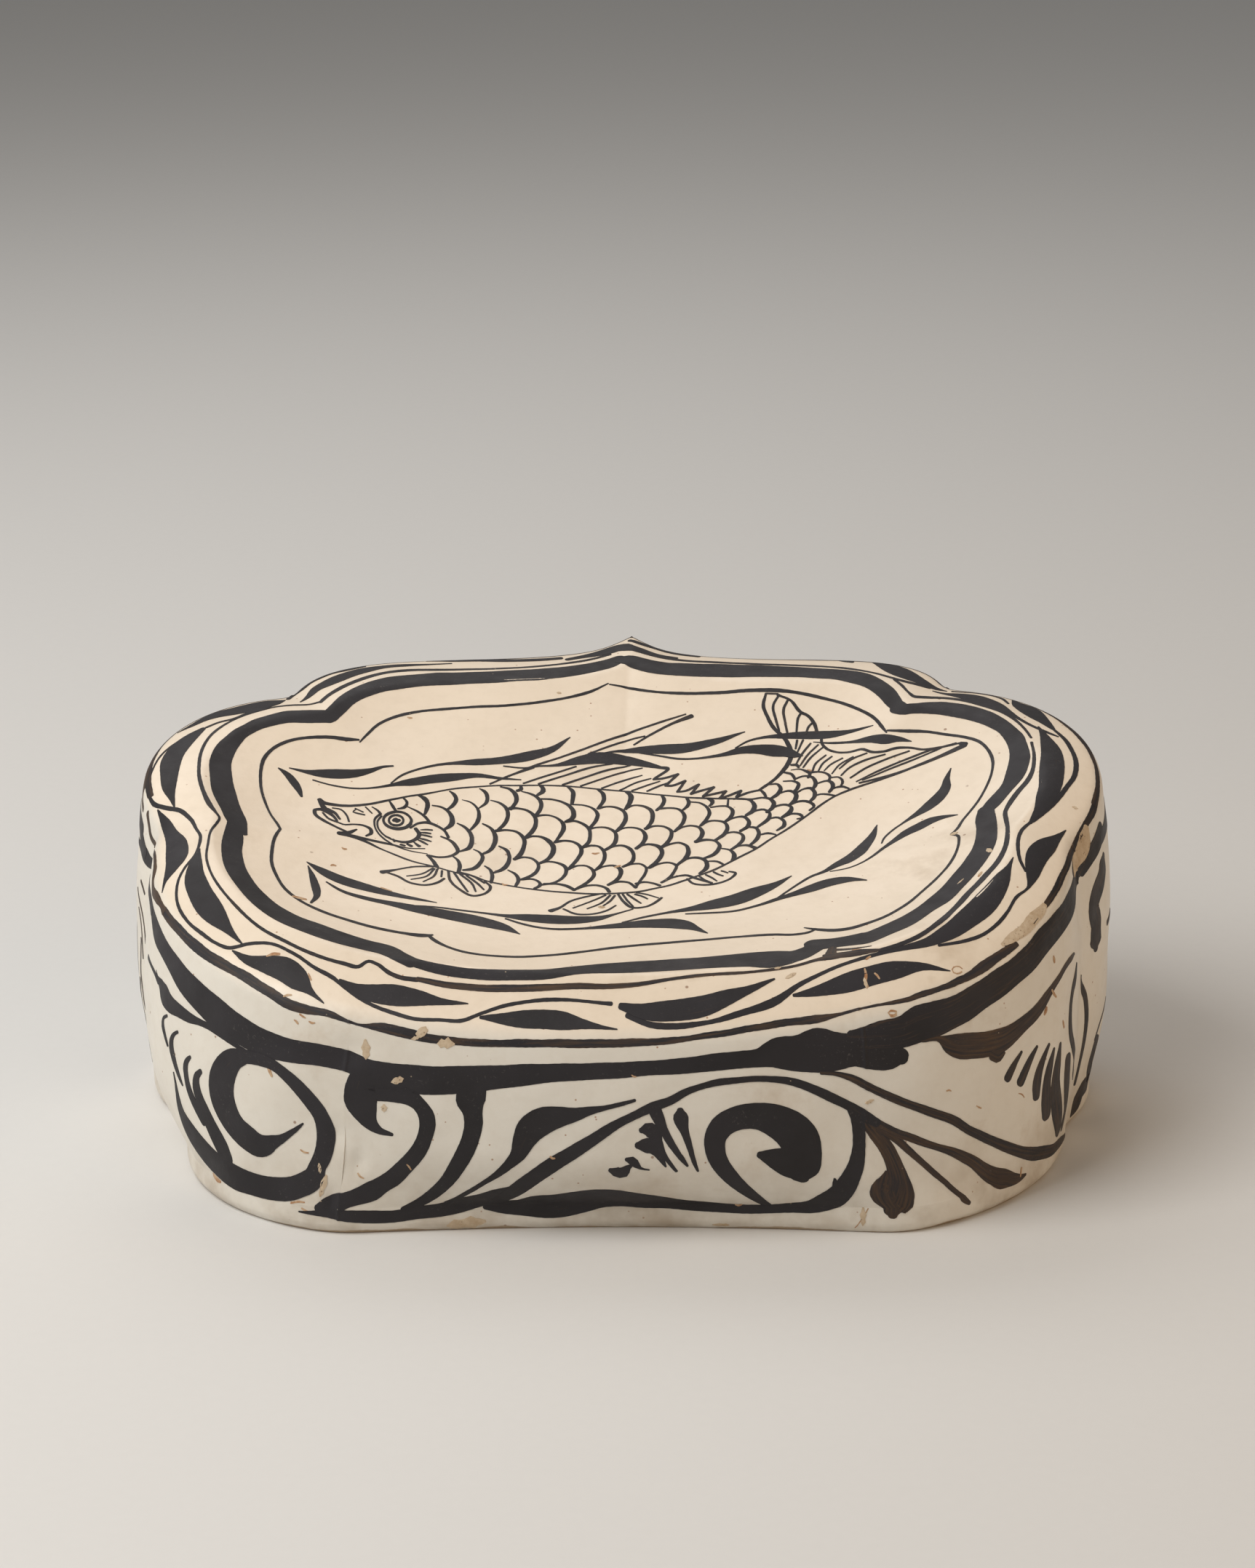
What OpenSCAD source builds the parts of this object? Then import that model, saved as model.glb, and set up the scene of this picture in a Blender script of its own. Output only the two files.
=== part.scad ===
// Lobed ceramic pillow: a dished headrest slab laid on a hollow ring of six wall slabs, closed below by a
// base slab, with the joints luted inside by clay coils.
// Millimetres. +X to the right of the front, +Y to the back, +Z up, origin under the middle of the plan.

/* [Plan outline] */
// Distance of the front left crease from the middle
front_left_crease_x = 82; // [60:1:95]
// Distance of the front left crease forward of the middle
front_left_crease_y = 97.5; // [85:0.5:110]
// Distance of the front right crease from the middle
front_right_crease_x = 80; // [60:1:95]
// Distance of the front right crease forward of the middle
front_right_crease_y = 95; // [85:0.5:110]
// Distance of the left crease from the middle
left_crease_x = 152; // [135:0.5:170]
// Distance of the left crease forward of the middle
left_crease_y = 2; // [0:0.5:25]
// Distance of the right crease from the middle
right_crease_x = 150; // [135:0.5:170]
// Distance of the right crease forward of the middle
right_crease_y = 12; // [0:0.5:25]
// Distance of the back left crease from the middle
back_left_crease_x = 116; // [105:0.5:125]
// Distance of the back left crease behind the middle
back_left_crease_y = 83; // [70:0.5:95]
// Distance of the back right crease from the middle
back_right_crease_x = 112.5; // [105:0.5:125]
// Distance of the back right crease behind the middle
back_right_crease_y = 89; // [70:0.5:95]
// Distance of the pointed back tip to the right of the middle
tip_x = 1.5; // [-6:0.5:6]
// Distance of the pointed back tip behind the middle
tip_y = 132.5; // [122:0.5:142]
// Bulge of the front lobe past its two creases
front_bulge = 8; // [3:0.5:14]
// Bulge of the front left lobe past its two creases
front_left_bulge = 24; // [12:0.5:30]
// Bulge of the front right lobe past its two creases
front_right_bulge = 20; // [12:0.5:30]
// Bulge of the back left lobe past its two creases
back_left_bulge = 24; // [12:0.5:34]
// Bulge of the back right lobe past its two creases
back_right_bulge = 28.5; // [12:0.5:34]
// Fullness of the left back lobe: how far it leaves its crease towards the back
left_lobe_rise = 43.5; // [25:0.5:50]
// Fullness of the right back lobe: how far it leaves its crease towards the back
right_lobe_rise = 39; // [25:0.5:50]
// Slack of the back lobes: how far each leaves its crease inwards
back_lobe_draw = 9; // [0:1:16]
// Sharpness of the tip: how far its flare runs to each side
tip_flare_x = 24; // [12:1:40]
// Sharpness of the tip: how far its flare runs forward
tip_flare_y = 25; // [10:1:32]

/* [Foot outline] */
// How far the front left crease spreads outwards at the foot
foot_front_left_out = 2.5; // [0:0.5:12]
// How far the front left crease comes forward at the foot
foot_front_left_fore = 1.5; // [-4:0.5:6]
// How far the front right crease spreads outwards at the foot
foot_front_right_out = 12; // [0:0.5:14]
// How far the front right crease comes forward at the foot
foot_front_right_fore = -1; // [-4:0.5:6]
// How far the left crease draws in at the foot
foot_left_in = 17; // [0:0.5:20]
// How far the left crease comes forward at the foot
foot_left_fore = 14; // [0:0.5:18]
// How far the right crease draws in at the foot
foot_right_in = 3.5; // [0:0.5:12]
// How far the right crease comes forward at the foot
foot_right_fore = -4.5; // [-6:0.5:10]
// How far the back left crease draws in at the foot
foot_back_left_in = 4.5; // [0:0.5:10]
// How far the back left crease comes forward at the foot
foot_back_left_fore = 5.5; // [0:0.5:10]
// How far the back right crease draws in at the foot
foot_back_right_in = 4; // [0:0.5:10]
// How far the back right crease comes forward at the foot
foot_back_right_fore = 8; // [0:0.5:10]
// How far the tip comes forward at the foot
foot_tip_fore = 10.5; // [2:0.5:12]
// Bulge of the foot's front edge past its two creases, less than nothing where it is hollow
foot_front_bulge = -5; // [-6:0.5:8]
// Bulge of the front left lobe's foot
foot_front_left_bulge = 21.5; // [12:0.5:26]
// Bulge of the front right lobe's foot
foot_front_right_bulge = 16; // [12:0.5:26]
// Bulge of the back left lobe's foot
foot_back_left_bulge = 32; // [20:0.5:36]
// Bulge of the back right lobe's foot
foot_back_right_bulge = 27; // [20:0.5:34]

/* [Headrest] */
// Thickness of the headrest slab
headrest_t = 9; // [6:0.5:13]
// Height of the crest above the table at the middle of the plan
crest_z = 100; // [85:1:125]
// Slope of the headrest, rising to the back, in degrees
slope = 13.5; // [5:0.25:16]
// Rise of the left end above the middle
left_lift = 9.5; // [0:0.5:16]
// Rise of the right end above the middle
right_lift = 13.5; // [0:0.5:18]
// Inset of the crest from the widest outline
crest_in = 24; // [20:1:32]
// Depth of the dish below the crest
dish_depth = 11; // [5:0.5:18]
// Fall of the shoulder from the crest to the rim at the front
front_shoulder = 10; // [4:0.5:16]
// Fall of the shoulder from the crest to the rim at the back
back_shoulder = 4.5; // [2:0.5:12]
// Rise of the small peak at the tip
tip_peak = 1.8; // [0:0.2:4]
// Half width of the small peak at the tip
tip_peak_w = 9; // [5:0.5:16]
// Distance behind the middle at which the peak's ridge starts
tip_ridge_y = 70; // [50:1:95]
// Rounding of the rim
rim_r = 2.5; // [1:0.25:4]

/* [Walls] */
// Inset of the rim from the widest outline
rim_in = 3; // [1:0.5:6]
// Inset of the walls' inner top edge from the widest outline
head_in = 11.5; // [10:0.5:16]
// Inset of the hollow's upright face from the mean of the widest and the foot outline
hollow_in = 14.5; // [11:0.5:16]
// Height of the hollow's upright face above the table
knee_z = 46; // [36:1:50]
// Diameter of the firing vent in the back wall
vent_d = 8; // [4:0.5:14]
// Distance of the vent from the middle
vent_x = 42; // [25:1:70]
// Height of the vent above the table
vent_z = 58; // [40:1:75]

/* [Base] */
// Thickness of the base slab
base_t = 9; // [6:0.5:14]
// Rounding of the base slab's edge, inwards
base_round = 5; // [2:0.5:8]

/* [Luting coils] */
// Height of the coil along the foot of the walls
coil_h = 11; // [6:0.5:16]
// Width of the coil on the base slab
coil_w = 10; // [6:0.5:16]
// Thickness of the coils up the creases
seam_coil_t = 8; // [4:0.5:12]

/* [Hidden] */

// Samples along each lobe, from crease to crease; the back wall has two halves, either side of the tip
front_samples = 28;
corner_samples = 16;
back_samples = 16;

// The outline starts at the front left crease and runs anticlockwise seen from above
at_front_left = 0;
at_front_right = at_front_left + front_samples;
at_right = at_front_right + corner_samples;
at_back_right = at_right + corner_samples;
at_tip = at_back_right + back_samples;
at_back_left = at_tip + back_samples;
at_left = at_back_left + corner_samples;
samples = at_left + corner_samples;
creases = [at_front_left, at_front_right, at_right, at_back_right, at_back_left, at_left];

// Parts of the wall's height, from its foot to the headrest, below and above the widest belt
belly_low = 0.45;
belly_high = 0.55;
wall_levels = [0, 0.15, 0.3, belly_low, belly_high, 0.7, 0.85, 1];

// Parts of the way from the crest to the middle at which the dish is sampled
dish_steps = [0, 0.1, 0.22, 0.38, 0.58, 0.8];
rim_steps = [90, 60, 30, 0];
base_steps = [0, 30, 60, 90];
bore_fn = 48;

front_left = [-front_left_crease_x, -front_left_crease_y];
front_right = [front_right_crease_x, -front_right_crease_y];
right = [right_crease_x, -right_crease_y];
left = [-left_crease_x, -left_crease_y];
back_right = [back_right_crease_x, back_right_crease_y];
back_left = [-back_left_crease_x, back_left_crease_y];
tip = [tip_x, tip_y];
right_pull = [-back_lobe_draw, right_lobe_rise];
left_pull = [back_lobe_draw, left_lobe_rise];
tip_pull = [tip_flare_x, -tip_flare_y];

// The same corners at the foot of the walls
foot_front_left = front_left - [foot_front_left_out, foot_front_left_fore];
foot_front_right = front_right + [foot_front_right_out, -foot_front_right_fore];
foot_right = right - [foot_right_in, foot_right_fore];
foot_left = left + [foot_left_in, -foot_left_fore];
foot_back_right = back_right - [foot_back_right_in, foot_back_right_fore];
foot_back_left = back_left + [foot_back_left_in, -foot_back_left_fore];
foot_tip = tip - [0, foot_tip_fore];

// Points on a circular arc from p to q, bulging to the right of the way, with q left out
function arc_points(p, q, bulge, count) =
    let (chord = norm(q - p))
    let (along = (q - p) / chord)
    let (out = [along.y, -along.x])
    let (half = 2 * atan2(2 * bulge, chord))
    let (radius = bulge == 0 ? 0 : chord / 2 / sin(half))
    let (centre = (p + q) / 2 - out * (radius - bulge))
    [for (k = [0 : count - 1])
        let (turn = half * (2 * k / count - 1))
        bulge == 0 ? p + (q - p) * k / count : centre + radius * (cos(turn) * out + sin(turn) * along)];

// Points on a cubic curve from a to d, pulled by b and c, with d left out
function curve_points(a, b, c, d, count) =
    [for (k = [0 : count - 1])
        let (t = k / count)
        let (u = 1 - t)
        u * u * u * a + 3 * u * u * t * b + 3 * u * t * t * c + t * t * t * d];

function mirror_x(p) = [-p.x, p.y];

// The lobed outline through its creases and tip; bulges run front, front right, back right, back left, front left
function lobed(fl, fr, r, br, t, bl, l, bulges) = concat(
    arc_points(fl, fr, bulges[0], front_samples),
    arc_points(fr, r, bulges[1], corner_samples),
    arc_points(r, br, bulges[2], corner_samples),
    curve_points(br, br + right_pull, t + tip_pull, t, back_samples),
    curve_points(t, t + mirror_x(tip_pull), bl + left_pull, bl, back_samples),
    arc_points(bl, l, bulges[3], corner_samples),
    arc_points(l, fl, bulges[4], corner_samples));

outline = lobed(front_left, front_right, right, back_right, tip, back_left, left,
    [front_bulge, front_right_bulge, back_right_bulge, back_left_bulge, front_left_bulge]);
foot_outline = lobed(foot_front_left, foot_front_right, foot_right, foot_back_right, foot_tip, foot_back_left,
    foot_left, [foot_front_bulge, foot_front_right_bulge, foot_back_right_bulge, foot_back_left_bulge,
        foot_front_left_bulge]);

plan_x = [for (p = concat(outline, foot_outline)) p.x];
plan_y = [for (p = concat(outline, foot_outline)) p.y];
half_length = max([for (p = outline) p.x]);
half_depth = -min([for (p = outline) p.y]);
mid_x = (max(plan_x) + min(plan_x)) / 2;
mid_y = (max(plan_y) + min(plan_y)) / 2;

// The outline drawn in by an inset, keeping its lobes
function drawn_in(p, inset) = [p.x * (1 - inset / half_length), p.y * (1 - inset / half_depth)];
function ring_point(k, inset) = drawn_in(outline[k % samples], inset);
function foot_point(k, inset) = drawn_in(foot_outline[k % samples], inset);

// The hollow's upright face, half way between both outlines and drawn in; depth runs on into the hollow
function hollow_point(k, depth) =
    (ring_point(k, hollow_in + depth) + foot_point(k, hollow_in + depth)) / 2;

// Height of the crest's tilted, saddle-shaped sheet, with the small peak at the tip
function crest_sheet(p) =
    let (lift = p.x < 0 ? left_lift : right_lift)
    let (ridge = max(0, min(1, (p.y - tip_ridge_y) / (tip_y - tip_ridge_y))))
    crest_z + p.y * tan(slope) + lift * pow(p.x / half_length, 2)
    + tip_peak * exp(-pow((p.x - tip_x) / tip_peak_w, 2)) * ridge * ridge;

// Fall of the shoulder at a place, between its front and back values
function shoulder_at(p) =
    let (t = max(0, min(1, (p.y / half_depth + 1) / 2)))
    front_shoulder + (back_shoulder - front_shoulder) * t;

// Height of the headrest's top face above the table
function top_z(k, inset) =
    let (p = ring_point(k, inset))
    let (rise = max(0, (crest_in - inset) / (crest_in - rim_in)))
    let (dip = max(0, (inset - crest_in) / (half_depth - crest_in)))
    crest_sheet(p) - shoulder_at(p) * pow(rise, 1.5) - dish_depth * (1 - pow(1 - dip, 2));

function top_point(k, inset) = concat(ring_point(k, inset), top_z(k, inset));
function under_point(k, inset) = concat(ring_point(k, inset), top_z(k, inset) - headrest_t);

// The wall's outer face, from the foot outline at level 0 by the widest outline to the rim at level 1
function wall_point(k, level) =
    let (head = under_point(k, rim_in).z)
    let (foot = pow(max(0, 1 - level / belly_low), 2))
    let (lean = rim_in * pow(max(0, (level - belly_high) / (1 - belly_high)), 2))
    concat(ring_point(k, lean) * (1 - foot) + foot_point(k, 0) * foot, base_t + level * (head - base_t));

// Faces between neighbouring sections of a loft, each section a row of points
function strip_faces(rows, cols, ring, loop, flip) =
    [for (k = [0 : ring ? rows - 1 : rows - 2], j = [0 : loop ? cols - 1 : cols - 2])
        let (next = (k + 1) % rows)
        let (a = k * cols + j)
        let (b = k * cols + (j + 1) % cols)
        let (c = next * cols + (j + 1) % cols)
        let (d = next * cols + j)
        each flip ? [[a, b, d], [b, c, d]] : [[a, b, c], [a, c, d]]];

function flat(rows) = [for (row = rows) each row];

// A loft right round the plan, closed above and below by fans to two middle points
module dome_loft(sections, low, high) {
    rows = len(sections);
    cols = len(sections[0]);
    low_fan = [for (k = [0 : rows - 1]) [rows * cols, k * cols, ((k + 1) % rows) * cols]];
    high_fan = [for (k = [0 : rows - 1])
        [rows * cols + 1, ((k + 1) % rows) * cols + cols - 1, k * cols + cols - 1]];
    polyhedron(concat(flat(sections), [low, high]),
        concat(strip_faces(rows, cols, true, false, true), low_fan, high_fan));
}

// A loft of closed sections from one end to the other; each end is a fan of faces round its hub point
module bar_loft(sections, hub) {
    rows = len(sections);
    cols = len(sections[0]);
    last = (rows - 1) * cols;
    turns = [for (j = [0 : cols - 1]) if (j != hub && (j + 1) % cols != hub) j];
    near_cap = [for (j = turns) [hub, (j + 1) % cols, j]];
    far_cap = [for (j = turns) [last + hub, last + j, last + (j + 1) % cols]];
    polyhedron(flat(sections), concat(strip_faces(rows, cols, false, true, false), near_cap, far_cap));
}

// A loft of closed sections right round the plan
module hoop_loft(sections) {
    polyhedron(flat(sections), strip_faces(len(sections), len(sections[0]), true, true, false));
}

module centred() translate([-mid_x, -mid_y, 0]) children();

// A wall slab from one crease to the next, outer face first, then down the inner face to the knee and the foot
module wall_slab(from, to) {
    sections = [for (k = [from : to]) concat(
        [for (level = wall_levels) wall_point(k, level)],
        [under_point(k, head_in), concat(hollow_point(k, 0), knee_z), concat(hollow_point(k, 0), base_t)])];
    bar_loft(sections, len(wall_levels) + 1);
}

module headrest_slab() color("antiquewhite") centred() {
    dish_in = [for (step = dish_steps) crest_in + step * (half_depth - crest_in)];
    shoulder_in = (rim_in + rim_r + crest_in) / 2;
    under_in = concat([rim_in, head_in], dish_in);
    over_in = concat([shoulder_in], dish_in);
    sections = [for (k = [0 : samples - 1]) concat(
        [for (j = [len(under_in) - 1 : -1 : 0]) under_point(k, under_in[j])],
        [for (j = [len(rim_steps) - 1 : -1 : 0])
            let (inset = rim_in + rim_r * (1 - cos(rim_steps[j])))
            concat(ring_point(k, inset), top_z(k, rim_in + rim_r) - rim_r * (1 - sin(rim_steps[j])))],
        [for (inset = over_in) top_point(k, inset)])];
    middle_z = crest_z - dish_depth;
    dome_loft(sections, [0, 0, middle_z - headrest_t], [0, 0, middle_z]);
}

module front_wall() color("ivory") centred() wall_slab(at_front_left, at_front_right);

module front_left_wall() color("ivory") centred() wall_slab(at_left, samples);

module front_right_wall() color("ivory") centred() wall_slab(at_front_right, at_right);

module back_left_wall() color("ivory") centred() wall_slab(at_back_left, at_left);

module back_right_wall() color("ivory") centred() wall_slab(at_right, at_back_right);

// The back wall is one slab folded at the tip, and lets the firing gas out through a round vent
module back_wall() color("ivory") centred() {
    difference() {
        wall_slab(at_back_right, at_back_left);
        translate([vent_x, tip_y, vent_z])
            rotate([90, 0, 0])
                cylinder(d = vent_d, h = tip_y, $fn = bore_fn);
    }
}

module base_slab() color("tan") centred() {
    sections = [for (k = [0 : samples - 1])
        [for (step = base_steps)
            concat(foot_point(k, base_round * (1 - sin(step))), base_t * (1 - cos(step)))]];
    dome_loft(sections, [0, 0, 0], [0, 0, base_t]);
}

// A hollow-faced coil pressed into the corner between the base slab and the walls
module base_coil() color("burlywood") centred() {
    hollow = 0.35;
    sections = [for (k = [0 : samples - 1]) [
        concat(hollow_point(k, 0), base_t),
        concat(hollow_point(k, 0), base_t + coil_h),
        concat(hollow_point(k, hollow * coil_w), base_t + hollow * coil_h),
        concat(hollow_point(k, coil_w), base_t)]];
    hoop_loft(sections);
}

// Strips of clay pressed over the inside of each crease, from the base coil to the top of the upright face
module seam_coils() color("burlywood") centred() {
    foot_z = base_t + coil_h;
    for (k = creases) {
        before = (k + samples - 1) % samples;
        translate([0, 0, foot_z])
            linear_extrude(knee_z - foot_z)
                polygon([hollow_point(before, 0), hollow_point(k, 0), hollow_point(k + 1, 0),
                    hollow_point(k, seam_coil_t)]);
    }
}

headrest_slab();
front_wall();
front_left_wall();
front_right_wall();
back_left_wall();
back_right_wall();
back_wall();
base_slab();
base_coil();
seam_coils();
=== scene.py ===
"""Visual model of a lobed stoneware pillow: its slip, its iron-brown painting and the studio round it."""

import math

import bmesh
import bpy
import numpy as np
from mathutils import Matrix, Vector


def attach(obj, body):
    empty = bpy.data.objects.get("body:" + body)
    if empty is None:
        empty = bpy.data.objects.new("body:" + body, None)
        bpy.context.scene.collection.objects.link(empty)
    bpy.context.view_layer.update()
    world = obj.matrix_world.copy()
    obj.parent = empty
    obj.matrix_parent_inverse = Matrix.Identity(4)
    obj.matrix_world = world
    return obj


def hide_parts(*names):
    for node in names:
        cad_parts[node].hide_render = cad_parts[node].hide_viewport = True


bl_info = {
    "name": "Painted Stoneware Pillow",
    "version": (1, 0, 0),
    "blender": (4, 5, 0),
    "location": "View3D > Sidebar > Pillow",
    "description": "Builds the painted pillow's skin, brushwork, chips and studio round the packed model",
    "category": "Object",
}

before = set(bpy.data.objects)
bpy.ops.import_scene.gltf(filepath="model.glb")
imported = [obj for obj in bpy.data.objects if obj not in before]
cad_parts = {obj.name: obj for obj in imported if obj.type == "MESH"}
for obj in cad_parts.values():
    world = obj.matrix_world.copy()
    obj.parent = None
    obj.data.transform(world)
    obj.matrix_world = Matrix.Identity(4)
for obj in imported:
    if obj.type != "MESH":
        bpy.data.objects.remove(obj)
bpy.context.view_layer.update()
MM = 0.001

# Corners of the widest outline and of the foot, in the outline's own frame, in millimetres: front left,
# front right, right, back right, tip, back left and left.
CORNERS = ((-82, -97.5), (80, -95), (150, -12), (112.5, 89), (1.5, 132.5), (-116, 83), (-152, -2))
FOOT_CORNERS = ((-84.5, -99), (92, -94), (146.5, -7.5), (108.5, 81), (1.5, 122), (-111.5, 77.5), (-135, -16))
TIP = 4
# How far each side bows out: front, front right, back right, back left and front left.
BOWS = (8, 20, 28.5, 24, 24)
FOOT_BOWS = (-5, 16, 27, 32, 21.5)
RIGHT_PULL, LEFT_PULL, TIP_PULL = (-9, 39), (9, 43.5), (24, -25)
HALF_LENGTH = 162.0394
# The middle of the part's box, in the outline's frame.
MIDDLE = np.array([0.7614, 14.1095])

# The top's heights, in millimetres.
CREST_Z, LEFT_LIFT, RIGHT_LIFT, DISH, CREST_IN = 100.0, 9.5, 13.5, 11.0, 24.0
SLOPE = math.tan(math.radians(13.5))
SHOULDER_FRONT, SHOULDER_BACK, SHOULDER_END, SHOULDER_CURVE = 10.0, 4.5, 3, 1.5
PEAK, PEAK_WIDTH, RIDGE_Y = 1.8, 9.0, 70.0

# How the outlines are drawn: the points on each lobe, their step, the tip's rounding and reach, and how far
# the skin keeps inside the solids.
LOBE_POINTS, OUTLINE_STEP, TIP_SOFT, TIP_REACH, SKIN_IN = 400, 0.5, 1.2, 9, 0.6
# The wall's section: the share of its height where it starts to lean in and where the foot's outline ends,
# and how deep and how high it is tucked under at the foot.
LEAN_FROM, FOOT_SHARE, TUCK_DEEP, TUCK_HIGH = 0.55, 0.45, 2.2, 4
# Height over the wall, in rim roundings, where the top begins, and how fast a stroke runs on inland there.
RIM_SPAN, INLAND_RATE = 1.3, 2.4
# Spacing of the skin's columns, and how much closer they stand at the creases.
COLUMN_STEP, CROWDING = 1.15, 0.085
# Thumb dents in the wall at the front left crease, each with its arc length, height, half width, half
# height and depth in millimetres.
DENTS = (
    (-2.5, 33, 3, 5, 0.9), (4.5, 24, 2.6, 4, 1.0), (-3, 12, 2.2, 4, 0.9), (8, 15, 4, 3, 0.5),
    (1, 60, 7, 4.5, 1.1),
)
# The firing vent's place in the back wall, in the outline's frame.
VENT_X, VENT_Z = 42, 58.0


def stroke_set(*runs):
    """Strokes in millimetres, from runs of points given in tenths: two coordinates and a width each."""
    return tuple(tuple(np.array(run) / 10) for run in runs)


# Brush strokes on the top, in the part's frame: x, y and width.
PANEL_LINE = stroke_set(
    (-880, 389, 5, -859, 438, 9, -829, 493, 10, -779, 542, 12, -699, 582, 11, -599, 606, 11, -499, 623, 11,
     -399, 637, 11, -299, 661, 11, -199, 692, 11, -119, 729, 12, -64, 770, 5),
    (-59, 766, 6, 1, 757, 11, 51, 739, 11, 121, 723, 11, 201, 716, 13, 301, 714, 14, 401, 716, 16, 481, 711,
     18, 551, 698, 15, 651, 663, 13, 721, 628, 12, 791, 575, 12, 836, 521, 12, 866, 456, 9, 873, 440, 5),
    (876, 449, 8, 931, 437, 14, 1011, 418, 11, 1070, 388, 11, 1130, 355, 11, 1175, 315, 11, 1204, 260, 11,
     1216, 196, 10, 1211, 144, 9, 1194, 82, 8, 1169, 21, 9, 1134, -40, 9, 1109, -80, 9, 1084, -131, 10,
     1069, -147, 6),
    (1069, -149, 7, 1089, -168, 10, 1092, -212, 9, 1085, -261, 9, 1060, -332, 10, 1020, -401, 10, 970, -470,
     11, 910, -547, 13, 850, -598, 15, 790, -630, 17, 741, -649, 20, 691, -652, 22, 641, -637, 16, 596,
     -615, 6),
    (-585, -668, 12, -560, -711, 15, -520, -755, 14, -470, -789, 14, -420, -803, 14, -360, -807, 14, -300,
     -803, 15, -200, -782, 15, -100, -754, 15, 1, -722, 15, 101, -698, 14, 201, -677, 14, 301, -660, 13,
     401, -651, 14, 501, -653, 16, 561, -663, 14, 611, -650, 12, 631, -631, 8),
    (-1098, -141, 9, -1109, -190, 10, -1113, -254, 11, -1108, -336, 11, -1084, -418, 11, -1049, -488, 12,
     -999, -543, 13, -929, -592, 15, -850, -629, 16, -760, -656, 17, -670, -669, 17, -580, -668, 16, -573,
     -664, 10),
    (-885, 399, 8, -920, 391, 16, -980, 387, 13, -1050, 369, 12, -1110, 338, 11, -1159, 287, 12, -1184, 231,
     12, -1189, 169, 11, -1184, 98, 10, -1164, 15, 9, -1138, -57, 8, -1108, -116, 9, -1098, -141, 9),
)
LOBED_BAND = stroke_set(
    (-986, 476, 51, -962, 531, 54, -936, 584, 57, -905, 626, 63, -869, 659, 69, -832, 686, 77, -794, 706,
     84, -754, 721, 81, -714, 734, 81, -674, 745, 84, -634, 755, 88, -593, 761, 86, -553, 767, 85, -512,
     773, 86, -471, 779, 87, -430, 785, 87, -390, 792, 86, -349, 798, 86, -308, 804, 85, -268, 814, 83,
     -227, 823, 82, -187, 835, 78, -147, 850, 75, -107, 865, 73, -67, 881, 70, -30, 909, 55),
    (-990, 475, 55, -1023, 470, 59, -1057, 464, 62, -1090, 458, 63, -1124, 451, 67, -1155, 434, 61, -1186,
     413, 56, -1217, 389, 55, -1244, 358, 50, -1271, 324, 51, -1290, 280, 55, -1308, 233, 63, -1319, 148,
     70, -1309, 66, 75, -1291, -18, 80, -1258, -114, 73, -1231, -178, 65, -1205, -225, 20),
    (-1239, -192, 50, -1237, -261, 63, -1235, -333, 66, -1223, -405, 70, -1195, -486, 73, -1150, -567, 76,
     -1090, -646, 85, -1015, -710, 93, -930, -753, 100, -840, -789, 93, -770, -808, 85, -711, -826, 85,
     -665, -870, 70, -619, -909, 50),
    (-660, -879, 55, -599, -914, 42, -499, -942, 40, -399, -951, 42, -299, -949, 48, -199, -941, 55, -100,
     -913, 67, 0, -894, 87, 101, -876, 95, 201, -862, 100, 301, -855, 103, 401, -850, 115, 501, -850, 125,
     571, -836, 90, 611, -799, 70, 641, -762, 60),
    (628, -758, 88, 653, -757, 84, 679, -757, 81, 705, -755, 83, 731, -754, 88, 756, -753, 95, 782, -752,
     104, 807, -743, 92, 832, -727, 88, 856, -712, 88, 880, -697, 89, 904, -679, 88, 927, -659, 82, 950,
     -636, 76, 973, -612, 73, 995, -589, 78, 1017, -566, 84, 1038, -539, 81, 1058, -508, 78, 1077, -477, 79,
     1095, -446, 80, 1113, -414, 80, 1131, -382, 80, 1147, -349, 79, 1162, -314, 76, 1173, -274, 74, 1180,
     -227, 69, 1182, -168, 66, 1181, -107, 64, 1184, -56, 53),
    (911, 550, 56, 933, 532, 48, 958, 530, 45, 983, 529, 51, 1007, 528, 60, 1032, 524, 66, 1057, 520, 73,
     1081, 511, 75, 1106, 500, 78, 1129, 486, 77, 1153, 470, 76, 1176, 452, 74, 1199, 432, 71, 1220, 408,
     64, 1241, 381, 60, 1260, 353, 56, 1277, 318, 56, 1291, 283, 59, 1299, 241, 59, 1302, 202, 64, 1301,
     163, 70, 1295, 128, 71, 1286, 93, 70, 1274, 62, 63, 1259, 36, 55, 1243, 13, 54, 1226, -10, 56, 1209,
     -33, 57, 1192, -57, 51, 1176, -83, 37),
    (-29, 900, 44, 5, 894, 68, 39, 879, 79, 72, 864, 85, 106, 854, 91, 141, 848, 94, 176, 847, 101, 210,
     846, 103, 245, 845, 105, 279, 845, 106, 314, 845, 106, 349, 843, 106, 383, 841, 104, 418, 839, 102,
     452, 835, 99, 487, 830, 96, 522, 824, 92, 556, 818, 89, 590, 812, 85, 625, 804, 83, 659, 796, 81, 694,
     789, 80, 728, 779, 84, 761, 763, 88, 794, 742, 87, 825, 712, 75, 853, 674, 64, 879, 631, 58, 900, 580,
     50, 922, 535, 37),
)
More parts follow.
